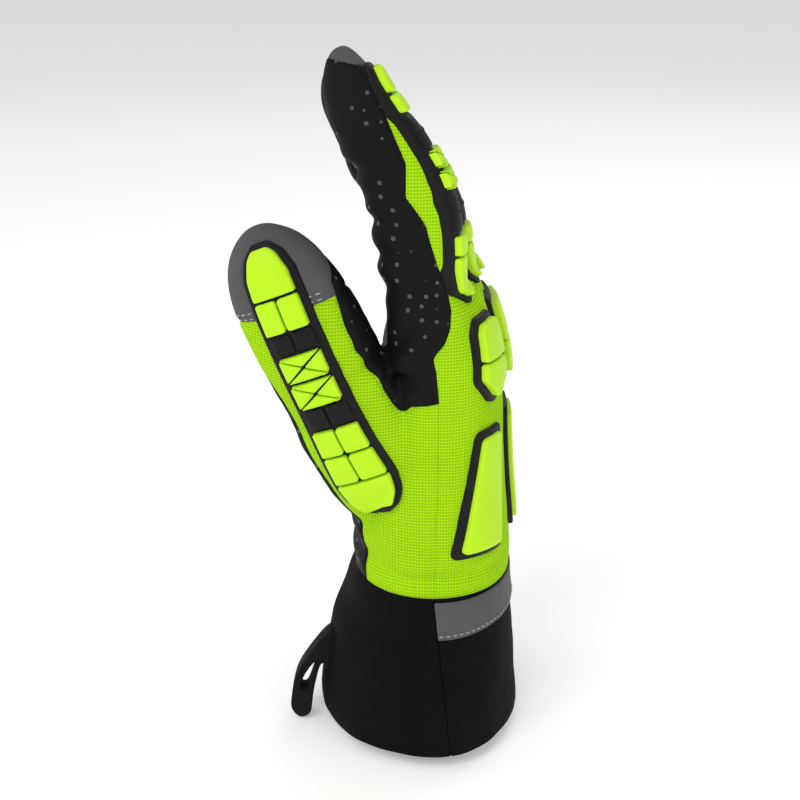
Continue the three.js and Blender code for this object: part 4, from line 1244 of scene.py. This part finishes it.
def inset_polygon(points, distance):
    """A convex polygon's corners moved inwards by a distance from its sides."""
    p = np.array(points, float)
    before = unit(p - np.roll(p, 1, 0))
    after = unit(np.roll(p, -1, 0) - p)
    side = np.stack([-before[:, 1], before[:, 0]], 1)
    normal = unit(np.stack([-before[:, 1] - after[:, 1], before[:, 0] + after[:, 0]], 1))
    reach = distance / np.maximum(np.sum(normal * side, 1), 0.3)
    return p + normal * reach[:, None]


def clip_level(points, low, high):
    """The part of a convex polygon between two heights."""
    p = [tuple(q) for q in points]
    for level, sign in ((low, 1), (high, -1)):
        out = []
        for a, b in zip(p, p[1:] + p[:1]):
            keep_a, keep_b = sign * (a[1] - level) >= 0, sign * (b[1] - level) >= 0
            if keep_a:
                out.append(a)
            if keep_a != keep_b:
                t = (level - a[1]) / (b[1] - a[1])
                out.append((a[0] + (b[0] - a[0]) * t, level))
        p = out
    return np.array(p)


def body_ground():
    """The body's skin as it was before its seams and folds."""
    return Ground([bpy.data.meshes["smooth_skin"]])


def skin_ground():
    """The body's finished skin."""
    return Ground([bpy.data.objects[name].data for name in BODY_PIECES])


class FingerGround:
    """The ground under one finger's guard, looked for from the finger's own middle."""

    def __init__(self, ground, name):
        self.ground = ground
        self.name = name

    def drop(self, point, out):
        """The surface point and normal at a point's height, looked at from near by."""
        base, length = FINGERS[self.name][:2]
        up = (point[2] - CUFF_HEIGHT - base) / length
        middle_x = finger_centre(self.name, min(max(up, 0), 1))[0]
        return self.ground.drop(np.array([middle_x, point[1], point[2]]), out, 30.0)


def strip_sizes(length, half, guard_rows, guard_pads):
    """A strip's rows and pads in millimetres."""
    rows = [(share * length, wide * half) for share, wide in guard_rows]
    pads = [(a * length, b * length, colour, pattern) for a, b, colour, pattern in guard_pads]
    return rows, pads


class GLOVE_OT_finger_guards(bpy.types.Operator):
    """Build the guards on the fingers"""
    bl_idname = "glove.finger_guards"
    bl_label = "Finger guards"

    def execute(self, context):
        ground = body_ground()
        for name, (base, length, x, y, lean, splay, _, size, _) in FINGERS.items():
            up = unit([0, splay, length])
            place = (np.array([x - lean, y, CUFF_HEIGHT + base]), np.cross(up, X_AXIS), up, X_AXIS)
            rows, pads = strip_sizes(length, FINGER_GUARD_WIDE / 2 * size, FINGER_GUARD_ROWS, FINGER_PADS)
            under = FingerGround(ground, name)
            strip_guard(name + "_finger", under, place, rows, pads, name + "_guard", 2.2)
        return {"FINISHED"}


class GLOVE_OT_thumb_guard(bpy.types.Operator):
    """Build the guard on the thumb"""
    bl_idname = "glove.thumb_guard"
    bl_label = "Thumb guard"

    def execute(self, context):
        lean, rise = THUMB_GUARD_RUN
        run = np.array([-THUMB["lean"] * lean, 0, THUMB["length"] * rise])
        up = unit(run - (run @ THUMB_BACK) * THUMB_BACK)
        origin = np.array([THUMB_GUARD_FOOT[0], THUMB["y"], CUFF_HEIGHT + THUMB_GUARD_FOOT[1]])
        place = (origin, np.cross(up, THUMB_BACK), up, THUMB_BACK)
        rows, pads = strip_sizes(THUMB_GUARD_LENGTH, THUMB_GUARD_WIDE / 2, THUMB_GUARD_ROWS, THUMB_PADS)
        strip_guard("thumb", body_ground(), place, rows, pads, "thumb_guard", 3.0)
        return {"FINISHED"}


class GLOVE_OT_hand_guards(bpy.types.Operator):
    """Build the guards on the knuckles and the back of the hand"""
    bl_idname = "glove.hand_guards"
    bl_label = "Hand guards"

    def execute(self, context):
        ground = body_ground()
        w, h = KNUCKLE_GUARD_WIDE / 2, KNUCKLE_GUARD_HEIGHT
        outline = [(u * w, v * h) for u, v in KNUCKLE_OUTLINE]
        for name, y, azimuth in KNUCKLE_GUARDS:
            base, length = FINGERS[name][:2]
            top = CUFF_HEIGHT + base + length * FINGER_GUARD_ROWS[0][0] - KNUCKLE_CLEARANCE
            plate_guard(name + "_knuckle", ground, y, top - h, azimuth, outline, 2.0, [h * 0.5], KNUCKLE_RISE)
        w, h = METACARPAL_GUARD_WIDE, METACARPAL_GUARD_HEIGHT
        for name, y, azimuth, low_left, low_right, high_left, high_right in METACARPAL_GUARDS:
            outline = [(low_left * w, 0), (low_right * w, 0), (high_right * w, h), (high_left * w, h)]
            plate_guard(name + "_metacarpal", ground, y, METACARPAL_GUARD_Z, azimuth, outline, 3.0, [],
                        METACARPAL_RISE)
        return {"FINISHED"}


def stitches(name, ground, points, out_at, length, gap=1.1, thick=0.32):
    """A row of stitches along points that lie on the ground."""
    bm = bmesh.new()
    p = np.array(points, float)
    lengths = np.concatenate([[0], np.cumsum(np.linalg.norm(np.diff(p, axis=0), axis=1))])
    round_angles = np.linspace(0, 2 * math.pi, 6, endpoint=False)
    at = 0.0
    while at + length < lengths[-1]:
        ends = []
        for s in (at, at + length / 2, at + length):
            q = np.array([np.interp(s, lengths, p[:, k]) for k in range(3)])
            ends.append(ground.drop(q, out_at(q)))
        run = unit(ends[2][0] - ends[0][0])
        normal = ends[1][1]
        side = unit(np.cross(run, normal))
        rings = []
        for (hit, _), lift, size in zip(ends, (-0.1, 0.12, -0.1), (0.6 * thick, thick, 0.6 * thick)):
            ring = [hit + normal * (lift + size * math.sin(a)) + side * size * math.cos(a)
                    for a in round_angles]
            rings.append([bm.verts.new(q * MM) for q in ring])
        for a, b in zip(rings, rings[1:]):
            for i in range(6):
                bm.faces.new((a[i], a[(i + 1) % 6], b[(i + 1) % 6], b[i]))
        bm.faces.new(rings[0][::-1])
        bm.faces.new(rings[-1])
        at += length + gap
    finish_piece(make_object(name, bm), "thread")


class GLOVE_OT_stitching(bpy.types.Operator):
    """Sew the rows of stitches on the thumb's cap and the band"""
    bl_idname = "glove.stitching"
    bl_label = "Stitching"

    def execute(self, context):
        stitch = context.scene.glove_sizes.stitch / MM
        body = skin_ground()
        a, b = np.array(THUMB_CAP)
        run = unit(b - a)
        up = np.array([-run[1], run[0]])
        thumb_out = np.array([-0.2, -0.98, 0.0])
        for k, lift in enumerate((0.9, 2.9)):
            start, end = a + up * lift - run * 3, b + up * lift + run * 3
            points = [(x, -46, z) for x, z in np.linspace(start, end, 30)]
            stitches("thumb_cap_stitches_%d" % k, body, points, lambda q: thumb_out, stitch)
        band = Ground([bpy.data.objects["reflective_tape"].data])
        z = BAND[0] + 1.3
        ring = cuff_ring(z, cuff_angles(z, "back", 160, 0.01), 1)
        stitches("band_stitches", band, ring, cuff_out, stitch, 0.9, 0.26)
        return {"FINISHED"}


# Name, place in metres, size in metres and power in watts
LIGHTS = (
    ("key", (-0.55, -1.1, 1.15), 0.9, 10),
    ("fill", (1.1, -0.9, 0.6), 1.1, 4),
    ("rim", (0.5, 1.0, 1.2), 0.9, 5),
    ("left", (-1.2, 0.2, 0.5), 0.8, 2.5),
)
# What the lights point at, in metres
LIGHTS_TARGET = (0, 0, 0.12)


def looking(name, data, place, target):
    """A light or a camera at a place, turned to a target."""
    made = bpy.data.objects.new(name, data)
    made.location = place
    made.rotation_euler = (Vector(target) - Vector(place)).to_track_quat("-Z", "Y").to_euler()
    bpy.context.scene.collection.objects.link(made)
    return made


def make_floor():
    """A plain pale floor under the glove."""
    size = 6.0
    bm = bmesh.new()
    corners = [(x, y, FLOOR_Z * MM) for x, y in ((-size, -size), (size, -size), (size, size), (-size, size))]
    bm.faces.new([bm.verts.new(corner) for corner in corners])
    floor = make_object("floor", bm)
    pale = Look("floor", 0.9)
    pale.put(Base_Color=(0.95, 0.95, 0.95), Emission_Color=(1.0, 1.0, 1.0), Emission_Strength=0.3)
    floor.data.materials.append(pale.material)


class GLOVE_OT_stage(bpy.types.Operator):
    """Set the floor, the lights and the camera"""
    bl_idname = "glove.stage"
    bl_label = "Stage"

    def execute(self, context):
        scene = context.scene
        scene.view_settings.view_transform = "Standard"
        make_floor()
        scene.world = bpy.data.worlds.new("studio")
        scene.world.use_nodes = True
        background = scene.world.node_tree.nodes["Background"]
        background.inputs["Color"].default_value = (1, 1, 1, 1)
        background.inputs["Strength"].default_value = WORLD_STRENGTH
        for name, place, size, power in LIGHTS:
            light = bpy.data.lights.new(name, "AREA")
            light.energy = power
            light.size = size
            looking(name, light, place, LIGHTS_TARGET)
        camera = bpy.data.cameras.new("camera")
        camera.lens = VIEW_LENS
        camera.sensor_width = SENSOR_WIDE
        target = Vector(VIEW_TARGET) * MM
        rise = math.radians(VIEW_RISE)
        place = target + Vector((0, -math.cos(rise), math.sin(rise))) * VIEW_DISTANCE * MM
        scene.camera = looking("camera", camera, place, target)
        return {"FINISHED"}


class GLOVE_PT_panel(bpy.types.Panel):
    """The glove's sizes, colours and pieces"""
    bl_idname = "GLOVE_PT_panel"
    bl_label = "Glove"
    bl_space_type = "VIEW_3D"
    bl_region_type = "UI"
    bl_category = "Glove"

    def draw(self, context):
        layout = self.layout
        for group in (context.scene.glove_sizes, context.scene.glove_colours):
            for name in group.bl_rna.properties.keys():
                if name not in ("rna_type", "name"):
                    layout.prop(group, name)
        for name in STEPS:
            layout.operator("glove." + name)


STEPS = ("materials", "body", "cuff", "finger_guards", "thumb_guard", "hand_guards", "stitching", "stage")
CLASSES = (GloveColours, GloveSizes, GLOVE_OT_materials, GLOVE_OT_body, GLOVE_OT_cuff,
           GLOVE_OT_finger_guards, GLOVE_OT_thumb_guard, GLOVE_OT_hand_guards, GLOVE_OT_stitching,
           GLOVE_OT_stage, GLOVE_PT_panel)


def register():
    """Registers the add-on's classes and the scene's properties."""
    for cls in CLASSES:
        bpy.utils.register_class(cls)
    bpy.types.Scene.glove_colours = bpy.props.PointerProperty(type=GloveColours)
    bpy.types.Scene.glove_sizes = bpy.props.PointerProperty(type=GloveSizes)


def unregister():
    """Takes them away again."""
    del bpy.types.Scene.glove_sizes
    del bpy.types.Scene.glove_colours
    for cls in reversed(CLASSES):
        bpy.utils.unregister_class(cls)


def main():
    """Builds the glove."""
    register()
    for name in STEPS:
        if getattr(bpy.ops.glove, name)() != {"FINISHED"}:
            raise RuntimeError(name + " did not finish")
    bpy.context.view_layer.update()


if __name__ == "__main__":
    main()
